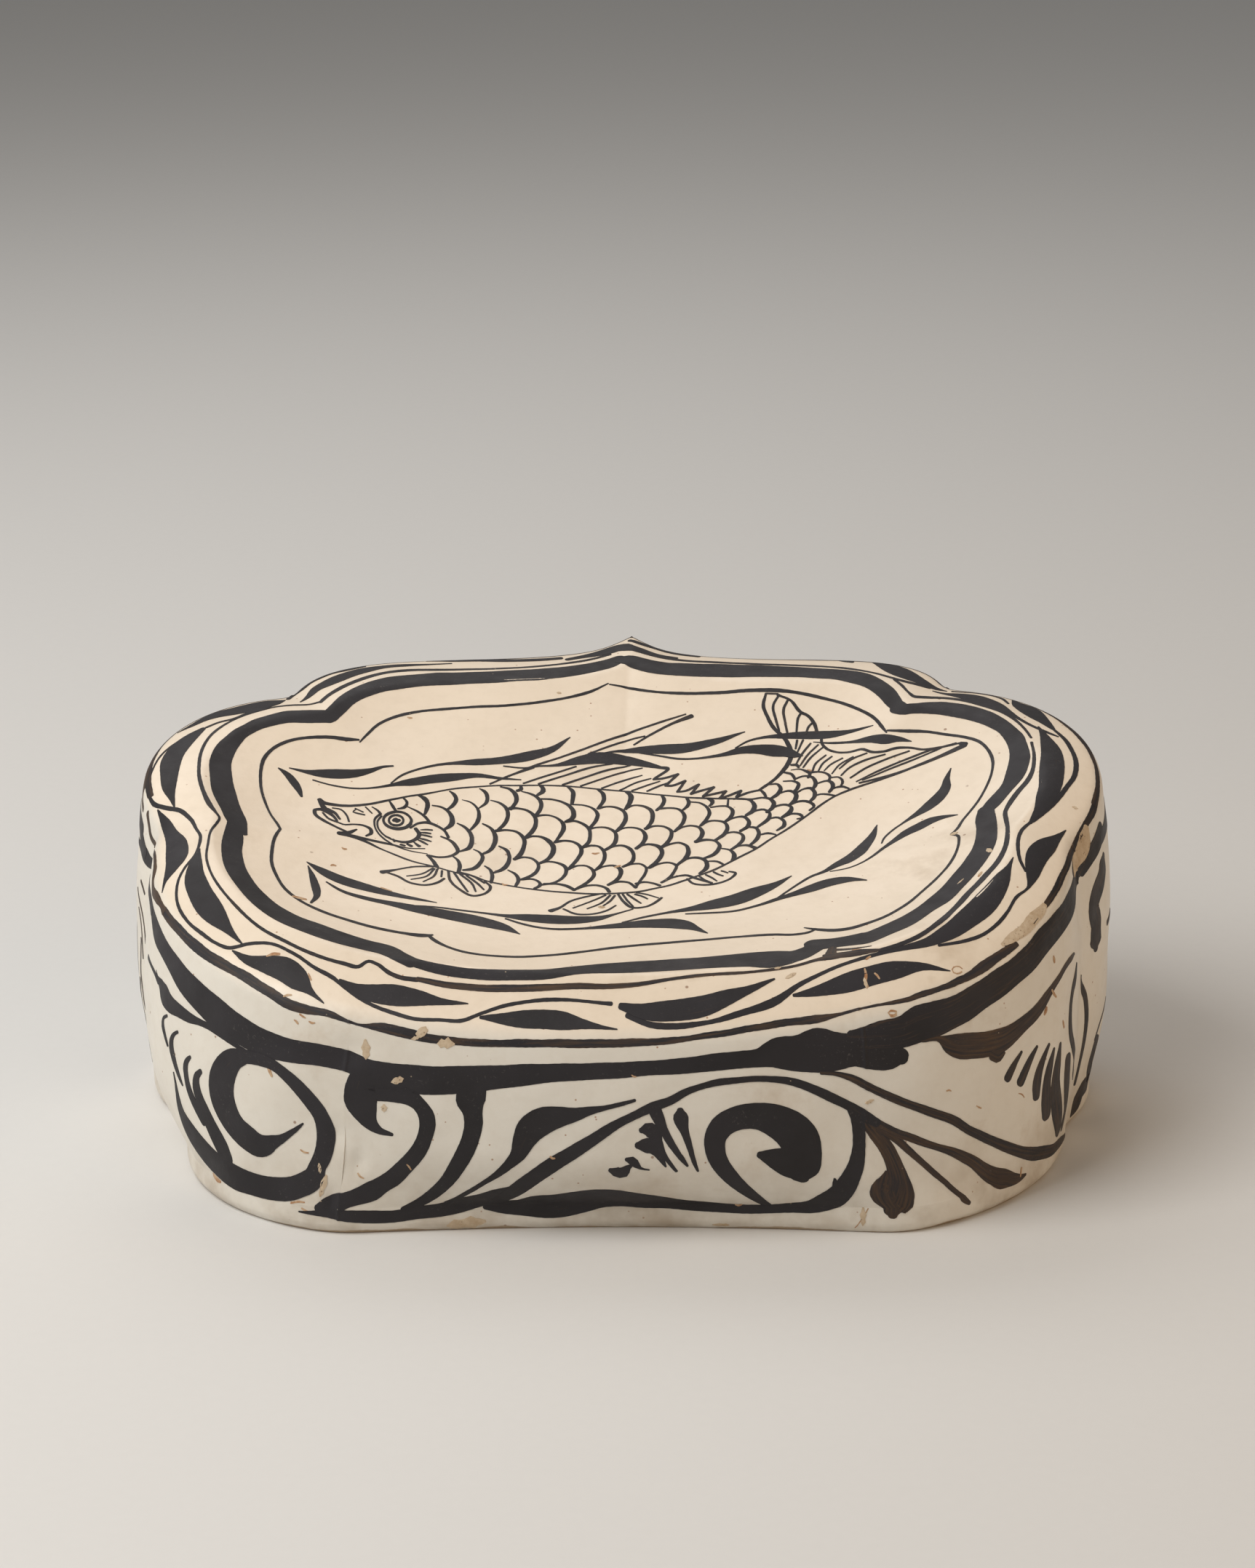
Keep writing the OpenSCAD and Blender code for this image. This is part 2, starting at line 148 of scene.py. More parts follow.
BORDER_LINES = stroke_set(
    (-1025, 560, 15, -1004, 605, 17, -971, 651, 20, -926, 702, 22, -880, 744, 22, -821, 785, 22, -749, 811,
     22, -650, 824, 19, -552, 837, 16, -453, 849, 14, -355, 863, 14, -281, 879, 14, -207, 900, 16, -158,
     917, 17, -109, 937, 17, -65, 957, 16),
    (-1189, 508, 6, -1221, 484, 8, -1272, 444, 10, -1314, 396, 11, -1355, 328, 11, -1379, 254, 11, -1387,
     173, 11, -1383, 79, 12, -1368, -7, 13, -1353, -57, 15, -1328, -120, 16, -1303, -163, 11, -1289, -186,
     9, -1294, -217, 8, -1307, -266, 8, -1310, -343, 8, -1306, -421, 8, -1288, -488, 8, -1259, -555, 8,
     -1219, -623, 9, -1169, -692, 10, -1109, -761, 10, -1039, -816, 11, -969, -861, 11, -899, -895, 11,
     -829, -918, 13, -784, -929, 12, -754, -909, 12, -729, -919, 12, -689, -950, 13, -649, -967, 14, -599,
     -975, 15),
    (1344, 243, 10, 1348, 156, 11, 1340, 80, 15, 1320, 28, 21, 1289, -17, 22, 1259, -71, 20, 1245, -110, 16,
     1244, -167, 14, 1246, -233, 14, 1243, -284, 15, 1236, -338, 17, 1220, -389, 20, 1195, -443, 22, 1171,
     -479, 24, 1143, -523, 24, 1111, -572, 24, 1071, -646, 24, 1035, -705, 22, 988, -762, 17, 942, -802, 16,
     897, -829, 15, 852, -847, 14, 825, -856, 13),
    (-6, 982, 18, 39, 966, 18, 90, 948, 18, 140, 935, 18, 189, 926, 18, 289, 919, 17, 388, 908, 15, 488,
     893, 15, 587, 875, 14, 685, 853, 14, 734, 839, 14, 783, 818, 13, 844, 782, 11, 893, 744, 13, 941, 710,
     17, 982, 693, 17, 1021, 680, 18),
    (905, 725, 11, 928, 679, 11, 951, 626, 11, 968, 601, 17, 999, 598, 18, 1072, 589, 18, 1144, 557, 18,
     1202, 510, 18, 1260, 455, 15, 1305, 382, 12, 1331, 318, 9, 1344, 273, 8),
)
BROWN_LINES = stroke_set(
    (-599, -973, 15, -499, -991, 20, -399, -999, 22, -299, -1000, 24, -199, -997, 22, -99, -991, 20, 1,
     -989, 18, 101, -976, 15, 201, -956, 12, 301, -943, 12, 401, -935, 10, 501, -921, 10, 581, -903, 10,
     631, -885, 13, 681, -873, 25, 751, -859, 20, 826, -855, 9),
    (681, -799, 25, 676, -843, 35),
    (661, -865, 30, 721, -866, 30, 821, -856, 10),
    (691, -819, 20, 741, -831, 16, 800, -834, 5),
)
LEAF_SCROLL = stroke_set(
    (-1398, 358, 20, -1429, 307, 50, -1463, 240, 70, -1481, 165, 72, -1479, 76, 62, -1470, -6, 43, -1456,
     -61, 20, -1443, -107, 4),
    (-1464, 295, 7, -1499, 250, 8, -1525, 198, 8, -1542, 121, 7, -1549, 64, 7, -1544, 21, 8, -1530, -27, 9,
     -1515, -57, 12, -1470, -98, 16, -1420, -131, 16, -1384, -183, 13, -1356, -253, 11, -1339, -294, 10,
     -1337, -330, 10, -1347, -397, 9, -1372, -448, 9, -1387, -496, 9, -1388, -563, 9, -1373, -620, 9, -1338,
     -686, 9, -1289, -744, 10, -1239, -793, 10, -1199, -819, 11, -1129, -820, 12, -1059, -834, 10, -989,
     -876, 10, -919, -928, 11, -859, -964, 12, -819, -996, 10, -778, -1023, 10, -719, -1051, 10, -649,
     -1072, 9, -599, -1083, 8, -519, -1088, 8, -449, -1090, 9, -399, -1074, 10, -329, -1053, 10, -249,
     -1040, 11, -149, -1034, 11, -79, -1038, 9, 1, -1043, 12),
    (-1500, -90, 4, -1470, -154, 26, -1436, -252, 45, -1412, -325, 70, -1406, -387, 70, -1419, -443, 40,
     -1434, -490, 10, -1438, -521, 3),
    (-1335, -367, 8, -1340, -435, 42, -1336, -502, 63, -1316, -568, 70, -1284, -636, 74, -1244, -699, 60,
     -1199, -762, 23, -1154, -817, 4),
    (-1184, -832, 5, -1134, -872, 26, -1069, -899, 55, -1009, -925, 70, -964, -963, 60, -929, -997, 20,
     -884, -1032, 3),
    (-839, -970, 6, -794, -997, 30, -729, -1013, 52, -659, -1020, 60, -599, -1028, 46, -519, -1040, 20,
     -439, -1046, 3),
    (-399, -1084, 8, -329, -1087, 30, -259, -1088, 46, -199, -1088, 50, -139, -1092, 45, -89, -1099, 28,
     -29, -1107, 10, 21, -1111, 3),
    (31, -1050, 20, 101, -1063, 45, 181, -1059, 58, 271, -1047, 60, 351, -1020, 48, 421, -993, 26, 501,
     -956, 6),
    (51, -1075, 15, 121, -1098, 16, 201, -1099, 15, 301, -1087, 12, 401, -1060, 18, 501, -1026, 24, 581,
     -972, 15, 651, -934, 12, 741, -896, 12, 821, -870, 14, 900, -846, 18, 980, -816, 35, 1040, -774, 55,
     1095, -719, 70, 1145, -658, 80, 1184, -593, 75, 1214, -527, 55, 1239, -466, 20, 1256, -414, 4),
    (561, -1006, 10, 631, -992, 30, 711, -969, 55, 791, -944, 60, 871, -921, 55, 950, -903, 27, 1043, -902,
     3),
    (1433, -220, 4, 1403, -264, 25, 1365, -323, 65, 1337, -375, 70, 1323, -429, 60, 1313, -485, 40, 1298,
     -545, 10, 1259, -595, 10, 1229, -661, 10, 1194, -717, 11, 1150, -763, 11, 1090, -799, 11, 1010, -826,
     9),
    (1323, -214, 10, 1293, -257, 12, 1276, -320, 12, 1273, -377, 12, 1278, -425, 11, 1293, -474, 8),
    (1372, 354, 5, 1382, 313, 20, 1395, 252, 45, 1406, 177, 70, 1404, 100, 80, 1397, 18, 80, 1387, -47, 70,
     1373, -93, 60, 1356, -153, 45, 1333, -195, 22, 1318, -224, 10),
    (-1484, 357, 3, -1439, 399, 22, -1397, 444, 39, -1352, 475, 61, -1306, 492, 72, -1258, 518, 80, -1215,
     547, 73, -1175, 572, 50, -1148, 593, 8),
    (-1388, 363, 11, -1351, 396, 11, -1304, 419, 11, -1260, 466, 11, -1214, 496, 11, -1168, 522, 11, -1121,
     537, 11, -1060, 546, 11, -1030, 561, 11),
    (-1093, 572, 6, -1069, 620, 22, -1047, 671, 38, -1018, 702, 50, -984, 737, 57, -944, 776, 54, -895, 811,
     49, -836, 843, 30, -752, 863, 23, -678, 875, 11, -605, 889, 8),
    (-1139, 606, 15, -1120, 657, 16, -1096, 689, 12, -1076, 729, 16, -1042, 765, 16, -1008, 797, 16, -960,
     820, 16, -901, 854, 16),
    (833, 895, 3, 876, 859, 58, 925, 800, 78, 964, 754, 66, 1000, 718, 45, 1037, 685, 27, 1078, 663, 9),
    (1033, 656, 6, 1073, 633, 18, 1120, 614, 45, 1168, 586, 65, 1209, 549, 63, 1246, 505, 49, 1279, 460, 25,
     1307, 413, 15, 1342, 368, 14, 1376, 335, 13, 1411, 306, 13, 1433, 291, 9),
    (1099, 660, 12, 1182, 639, 8, 1230, 615, 9, 1261, 588, 12, 1281, 537, 8),
    (1298, 574, 10, 1314, 534, 46, 1343, 493, 70, 1371, 441, 63, 1397, 392, 37, 1419, 347, 17),
    (1421, 343, 11, 1439, 309, 14, 1458, 267, 15, 1472, 215, 16, 1481, 161, 16, 1483, 103, 17, 1473, 45, 16,
     1448, -18, 16, 1422, -74, 15, 1394, -127, 14, 1359, -175, 12, 1327, -214, 13),
    (711, 933, 6, 737, 908, 11, 765, 898, 16),
    (-209, 937, 22, -160, 958, 29, -111, 976, 47, -66, 994, 60, -37, 1005, 60, -17, 1002, 60, 6, 990, 51,
     39, 984, 34, 89, 965, 20, 164, 948, 15),
    (2, 1056, 19, 37, 1043, 22, 88, 1028, 22, 138, 1006, 22, 188, 992, 22, 238, 981, 21),
    (-692, 913, 3, -606, 918, 16, -508, 930, 25, -408, 930, 25, -309, 938, 24, -234, 951, 24),
)
FISH_LINES = stroke_set(
    (-990, 88, 17, -976, 76, 17, -947, 74, 15, -894, 79, 12, -843, 95, 11, -771, 128, 9, -719, 151, 8, -659,
     177, 8, -613, 199, 7, -566, 219, 7, -519, 233, 7, -471, 243, 7, -423, 251, 7, -327, 257, 7, -231, 262,
     7, -135, 260, 7, -87, 256, 7, -39, 254, 7, 10, 250, 7, 58, 239, 7, 106, 228, 7, 155, 218, 7, 203, 209,
     8, 299, 201, 8, 371, 198, 8, 428, 193, 8, 461, 197, 8),
    (-911, -80, 23, -882, -82, 18, -829, -97, 13, -774, -128, 9, -719, -156, 8, -665, -182, 8, -598, -206,
     7, -549, -227, 7, -511, -241, 8, -473, -248, 7, -425, -275, 7, -377, -291, 8, -320, -307, 8, -273,
     -318, 8, -207, -329, 9, -160, -333, 9, -67, -333, 9, 26, -320, 9, 72, -311, 9, 118, -294, 9, 165, -277,
     9, 211, -252, 9, 257, -226, 9, 304, -198, 9, 350, -160, 9, 397, -119, 9, 444, -77, 8, 491, -26, 8, 538,
     18, 8, 586, 65, 8, 621, 100, 8, 657, 136, 8, 697, 167, 8, 737, 187, 9, 777, 203, 9, 856, 227, 9, 920,
     248, 10, 998, 276, 10, 1064, 297, 12, 1110, 313, 15, 1132, 320, 17),
    (-990, 88, 14, -980, 62, 18, -968, 44, 20, -957, 38, 16),
    (-1001, 25, 13, -997, 4, 13, -971, -21, 13, -938, -40, 10, -894, -61, 11),
    (-1001, 29, 11, -984, 37, 14, -965, 32, 16, -942, 15, 12, -925, -9, 8),
    (-974, 20, 7, -951, -8, 8, -924, -17, 9),
    (-960, 42, 16, -938, 32, 12, -917, 2, 8),
    (-945, 55, 5, -919, 54, 6, -896, 26, 7, -887, -4, 6),
    (-924, -17, 7, -902, -24, 8, -871, -14, 8, -835, -13, 10, -815, -25, 13, -811, -46, 13, -826, -66, 8),
    (-911, -80, 22, -888, -69, 19, -859, -39, 6),
    (-911, -80, 23, -882, -79, 15, -830, -83, 13, -777, -88, 13, -735, -93, 9, -687, -101, 6, -634, -97, 5),
    (-735, -93, 7, -691, -113, 6, -624, -127, 4),
    (-869, 66, 4, -878, 51, 5, -866, 47, 7, -840, 44, 7),
    (-872, 70, 5, -845, 57, 5),
    (-839, 84, 5, -816, 57, 5),
    (-818, 88, 4, -799, 75, 8, -788, 59, 10),
    (-688, 27, 13, -702, 8, 14, -724, -3, 15, -748, -3, 13, -767, 8, 11, -777, 27, 8, -774, 50, 10, -759,
     68, 12, -737, 79, 11, -713, 78, 10, -695, 65, 9, -686, 46, 9, -690, 24, 11),
    (-713, 31, 9, -720, 19, 10, -731, 13, 12, -744, 13, 12, -754, 20, 10, -759, 32, 8, -757, 46, 9, -750,
     57, 11, -739, 63, 12, -726, 62, 11, -716, 54, 9, -712, 42, 7, -714, 29, 7),
    (-744, 35, 12, -738, 38, 23, -732, 38, 23, -726, 40, 13),
    (-765, 129, 5, -753, 107, 10, -738, 81, 10),
    (-719, 147, 7, -706, 129, 10, -713, 104, 12, -734, 94, 6),
    (-703, 109, 4, -667, 90, 9, -642, 68, 10, -627, 45, 10),
    (-788, 59, 9, -804, 33, 8, -804, -1, 6, -788, -41, 6, -762, -71, 7, -735, -93, 6),
    (-784, 49, 7, -795, 22, 6, -793, -7, 6, -769, -46, 7, -731, -67, 8, -694, -69, 12, -669, -52, 14, -656,
     -21, 15, -670, 7, 12),
    (-763, -52, 8, -750, -58, 8),
    (-739, -62, 7, -734, -73, 7),
    (-712, -85, 10, -700, -89, 10),
    (-691, -79, 9, -677, -88, 12),
    (-670, -66, 6, -652, -85, 13),
    (-653, 3, 5, -637, 6, 8, -616, 6, 7),
    (-652, -11, 6, -636, -11, 9, -620, -13, 7),
    (-653, -22, 6, -635, -25, 9, -616, -31, 7),
    (-655, -42, 6, -636, -47, 9, -616, -55, 6),
    (-657, -52, 6, -642, -61, 9, -626, -74, 6),
    (-687, 8, 8, -665, 33, 9, -637, 42, 11, -603, 29, 10, -575, 5, 10, -561, -28, 10),
    (-585, -25, 8, -556, -43, 11, -535, -73, 13, -526, -109, 13, -543, -131, 13, -583, -144, 11, -621, -137,
     14),
    (-621, -137, 10, -602, -171, 13, -588, -206, 16),
)
FISH_SCALES = stroke_set(
    (-671, 168, 7, -654, 161, 18, -640, 141, 16, -639, 110, 15, -645, 82, 9),
    (-570, 208, 6, -556, 195, 13, -547, 174, 15, -554, 143, 14, -574, 114, 8),
    (-473, 232, 4, -456, 220, 13, -446, 195, 14, -448, 161, 12, -470, 132, 5),
    (-404, 246, 6, -375, 237, 11, -354, 209, 16, -349, 175, 15, -365, 130, 12),
    (-337, 251, 11, -336, 236, 14, -348, 228, 12),
    (-333, 225, 5, -306, 215, 8, -282, 198, 11, -267, 172, 14, -267, 142, 14, -284, 97, 12),
    (-272, 258, 12, -264, 244, 15, -264, 229, 17, -280, 209, 11),
    (-623, 129, 5, -594, 126, 8, -569, 107, 13, -555, 74, 16, -556, 38, 17, -578, 10, 8),
    (-527, 171, 3, -500, 162, 7, -477, 135, 9, -468, 98, 13, -471, 59, 15, -490, 18, 9),
    (-433, 175, 5, -405, 164, 9, -382, 139, 12, -373, 101, 14, -380, 58, 15, -404, 16, 10),
    (-367, 136, 17, -341, 136, 10, -307, 124, 10, -284, 95, 14, -280, 56, 15, -293, 12, 16, -313, -19, 11),
    (-284, 95, 10, -263, 104, 10, -244, 106, 8, -210, 92, 9, -190, 64, 14, -188, 37, 15, -197, 4, 14, -212,
     -35, 9),
    (-541, -134, 5, -525, -154, 9, -514, -197, 15, -516, -232, 13),
    (-536, 49, 5, -512, 32, 10, -492, 2, 14, -484, -45, 15, -492, -86, 16, -523, -108, 6),
    (-453, 51, 6, -427, 31, 10, -410, -7, 15, -410, -55, 16, -425, -97, 13, -445, -115, 9),
    (-407, 15, 14, -374, 21, 9, -340, 13, 9, -315, -21, 14, -315, -74, 15, -325, -111, 16, -340, -135, 11),
    (-313, -19, 13, -287, -7, 9, -258, -10, 10, -234, -29, 16, -217, -61, 17, -219, -98, 17, -234, -132, 14,
     -259, -156, 11),
    (-475, -90, 5, -457, -103, 8, -444, -131, 13, -449, -165, 15, -471, -206, 17, -501, -218, 11),
    (-394, -66, 6, -369, -85, 12, -358, -117, 13, -360, -159, 16, -377, -199, 16, -404, -223, 10),
    (-340, -135, 14, -315, -122, 9, -286, -126, 10, -264, -154, 11, -264, -197, 13, -279, -228, 15, -313,
     -256, 10),
    (-261, -156, 12, -234, -144, 9, -200, -151, 10, -174, -175, 13, -170, -201, 13, -178, -236, 13, -205,
     -271, 10, -244, -287, 11),
    (-434, -184, 6, -417, -202, 11, -408, -232, 13, -408, -286, 10),
    (-358, -200, 5, -334, -222, 11, -322, -261, 13, -328, -298, 11),
    (-313, -256, 12, -276, -252, 9, -254, -271, 10, -251, -293, 14, -266, -312, 12),
    (-237, -282, 12, -195, -280, 10, -162, -293, 14, -140, -315, 14),
    (-267, 189, 7, -233, 189, 8, -199, 179, 9, -172, 158, 13, -159, 128, 16, -162, 93, 17, -181, 75, 12),
    (-183, 259, 8, -165, 237, 16, -163, 208, 16, -166, 169, 11),
    (-161, 168, 7, -127, 167, 8, -98, 153, 10, -80, 123, 13, -83, 84, 14, -106, 36, 11),
    (-84, 255, 8, -67, 238, 14, -61, 205, 14, -79, 152, 11),
    (-79, 152, 13, -50, 163, 8, -21, 160, 10, 6, 138, 13, 14, 106, 15, 5, 59, 15, -17, 20, 10),
    (10, 248, 10, 25, 230, 17, 26, 192, 17, 12, 150, 12),
    (12, 150, 9, 36, 169, 8, 70, 164, 11, 96, 140, 14, 102, 105, 14, 96, 66, 14, 80, 36, 10),
    (130, 221, 9, 138, 197, 13, 132, 167, 14, 114, 140, 11),
    (123, 148, 10, 156, 152, 8, 185, 146, 9, 204, 119, 13, 202, 73, 13, 175, 24, 8),
    (-181, 75, 14, -152, 80, 10, -128, 67, 10, -106, 40, 12, -100, 0, 13, -105, -41, 13, -121, -65, 11),
    (-106, 36, 12, -75, 46, 9, -46, 43, 10, -19, 18, 12, -14, -18, 15, -24, -55, 15, -47, -80, 12),
    (-17, 20, 11, 11, 41, 8, 39, 43, 9, 68, 29, 11, 81, -1, 15, 75, -37, 14, 52, -72, 11),
    (80, 36, 13, 106, 51, 9, 139, 50, 10, 163, 30, 13, 164, -6, 13, 150, -42, 13, 132, -66, 11),
    (175, 24, 9, 201, 49, 8, 229, 58, 9, 256, 48, 12, 265, 28, 15, 259, -12, 14, 245, -31, 11),
    (-212, -35, 14, -182, -27, 11, -153, -34, 10, -131, -58, 12, -125, -90, 15, -135, -128, 14, -164, -188,
     10),
    (-121, -65, 14, -95, -56, 11, -72, -60, 9, -54, -84, 11, -48, -121, 13, -57, -159, 12, -77, -194, 9),
    (-47, -80, 13, -19, -61, 9, 9, -58, 10, 35, -78, 13, 46, -111, 12, 40, -145, 13, 12, -172, 9),
    (52, -72, 13, 75, -53, 9, 103, -50, 11, 127, -62, 17, 137, -87, 15, 126, -132, 14, 97, -174, 11),
    (132, -66, 11, 160, -47, 8, 191, -37, 9, 214, -51, 12, 222, -80, 15, 213, -125, 15, 186, -162, 8),
    (-164, -188, 14, -134, -168, 9, -106, -169, 9, -84, -194, 12, -80, -220, 13, -93, -255, 14, -138, -311,
     9),
    (-77, -194, 11, -49, -172, 9, -16, -167, 11, 3, -183, 15, 6, -213, 14, -5, -244, 15, -32, -276, 12),
    (12, -172, 10, 40, -157, 9, 68, -155, 9, 87, -174, 9, 86, -204, 10, 70, -248, 10, 57, -283, 10),
    (97, -174, 14, 129, -153, 9, 162, -147, 9, 184, -162, 11, 179, -196, 11, 164, -231, 11, 139, -259, 9),
    (-138, -311, 11, -101, -286, 9, -69, -281, 10, -36, -298, 13, -28, -316, 14),
    (-32, -276, 11, 0, -256, 10, 33, -259, 9, 57, -288, 12),
    (57, -266, 11, 80, -256, 10, 108, -261, 9, 134, -276, 11),
    (139, -259, 10, 175, -231, 9, 220, -222, 10, 248, -241, 10, 300, -274, 10),
    (212, 203, 9, 220, 184, 13, 215, 161, 12, 201, 142, 8),
    (225, 184, 7, 256, 179, 8, 278, 159, 10, 288, 128, 13, 279, 94, 14, 260, 59, 10),
    (282, 201, 12, 294, 193, 17, 297, 177, 13, 287, 163, 8),
    (292, 156, 7, 323, 162, 8, 347, 160, 9, 364, 140, 13, 359, 106, 14, 343, 84, 11),
    (349, 194, 6, 347, 160, 8),
    (366, 197, 7, 394, 197, 8, 421, 188, 11, 435, 162, 16, 428, 129, 17, 409, 111, 12),
    (428, 192, 7, 461, 197, 8, 485, 189, 11, 499, 165, 15, 490, 135, 15, 476, 121, 12),
    (454, 236, 8, 466, 220, 12, 475, 193, 7),
    (485, 259, 6, 509, 259, 9, 521, 238, 13, 512, 209, 14, 490, 188, 11),
    (260, 59, 9, 286, 82, 8, 314, 85, 8, 338, 76, 11, 348, 48, 13, 339, 13, 14, 311, -22, 11),
    (343, 84, 12, 367, 99, 8, 400, 104, 13, 417, 80, 14, 415, 52, 16, 391, 26, 11),
    (409, 111, 12, 438, 132, 10, 467, 136, 10, 486, 113, 11, 483, 90, 15, 448, 45, 11),
    (476, 121, 9, 509, 149, 10, 538, 152, 10, 557, 136, 11, 552, 113, 18, 529, 89, 15),
    (490, 188, 9, 519, 212, 8, 552, 219, 10, 571, 202, 13, 571, 176, 17, 552, 150, 11),
    (531, 270, 6, 562, 266, 8, 579, 253, 11, 576, 228, 14, 564, 210, 11),
    (535, 313, 9, 557, 302, 10, 569, 273, 9),
    (245, -31, 14, 278, -20, 11, 306, -25, 9, 323, -50, 13, 319, -78, 15, 303, -107, 15, 275, -126, 10),
    (311, -22, 12, 344, 15, 8, 372, 21, 9, 396, 6, 10, 399, -22, 13, 387, -49, 13, 361, -80, 9),
    (391, 26, 12, 415, 45, 9, 441, 39, 12, 450, 15, 12, 444, -24, 14, 422, -59, 10),
    (448, 45, 8, 481, 83, 9, 510, 89, 10, 533, 65, 12, 533, 42, 15, 510, 19, 9),
    (529, 89, 10, 562, 102, 10, 590, 88, 11, 593, 77, 11, 576, 73, 7),
    (552, 150, 10, 586, 162, 10, 614, 153, 11, 631, 128, 11, 616, 111, 8),
    (576, 207, 9, 598, 221, 8, 619, 221, 12, 632, 203, 13, 633, 176, 15, 618, 154, 11),
    (568, 275, 8, 598, 285, 8, 622, 278, 11, 636, 253, 14, 635, 229, 14, 626, 214, 10),
    (556, 322, 3, 586, 322, 6, 604, 310, 11, 618, 295, 13, 612, 275, 9),
    (618, 299, 10, 642, 299, 8, 666, 290, 8, 684, 264, 10, 679, 243, 9),
    (638, 238, 7, 658, 245, 8, 677, 246, 9, 691, 231, 13, 693, 212, 13, 681, 190, 10),
    (691, 259, 7, 710, 257, 6, 723, 243, 9, 725, 228, 9, 719, 214, 5),
    (633, 180, 9, 653, 184, 8, 677, 179, 9, 699, 171, 9),
    (685, 201, 6, 705, 209, 8, 725, 210, 10, 745, 199, 8),
    (186, -162, 12, 213, -129, 10, 246, -120, 13, 275, -135, 14, 284, -164, 15, 280, -190, 17, 260, -214,
     9),
    (287, -144, 7, 317, -147, 10, 336, -165, 9),
    (331, -72, 7, 354, -80, 9, 369, -101, 14, 371, -126, 15, 364, -147, 9),
    (361, -80, 10, 387, -60, 9, 415, -59, 12, 441, -77, 16),
    (453, -1, 7, 481, 6, 10, 505, -4, 6),
    (557, 347, 9, 576, 343, 11, 581, 331, 7),
)
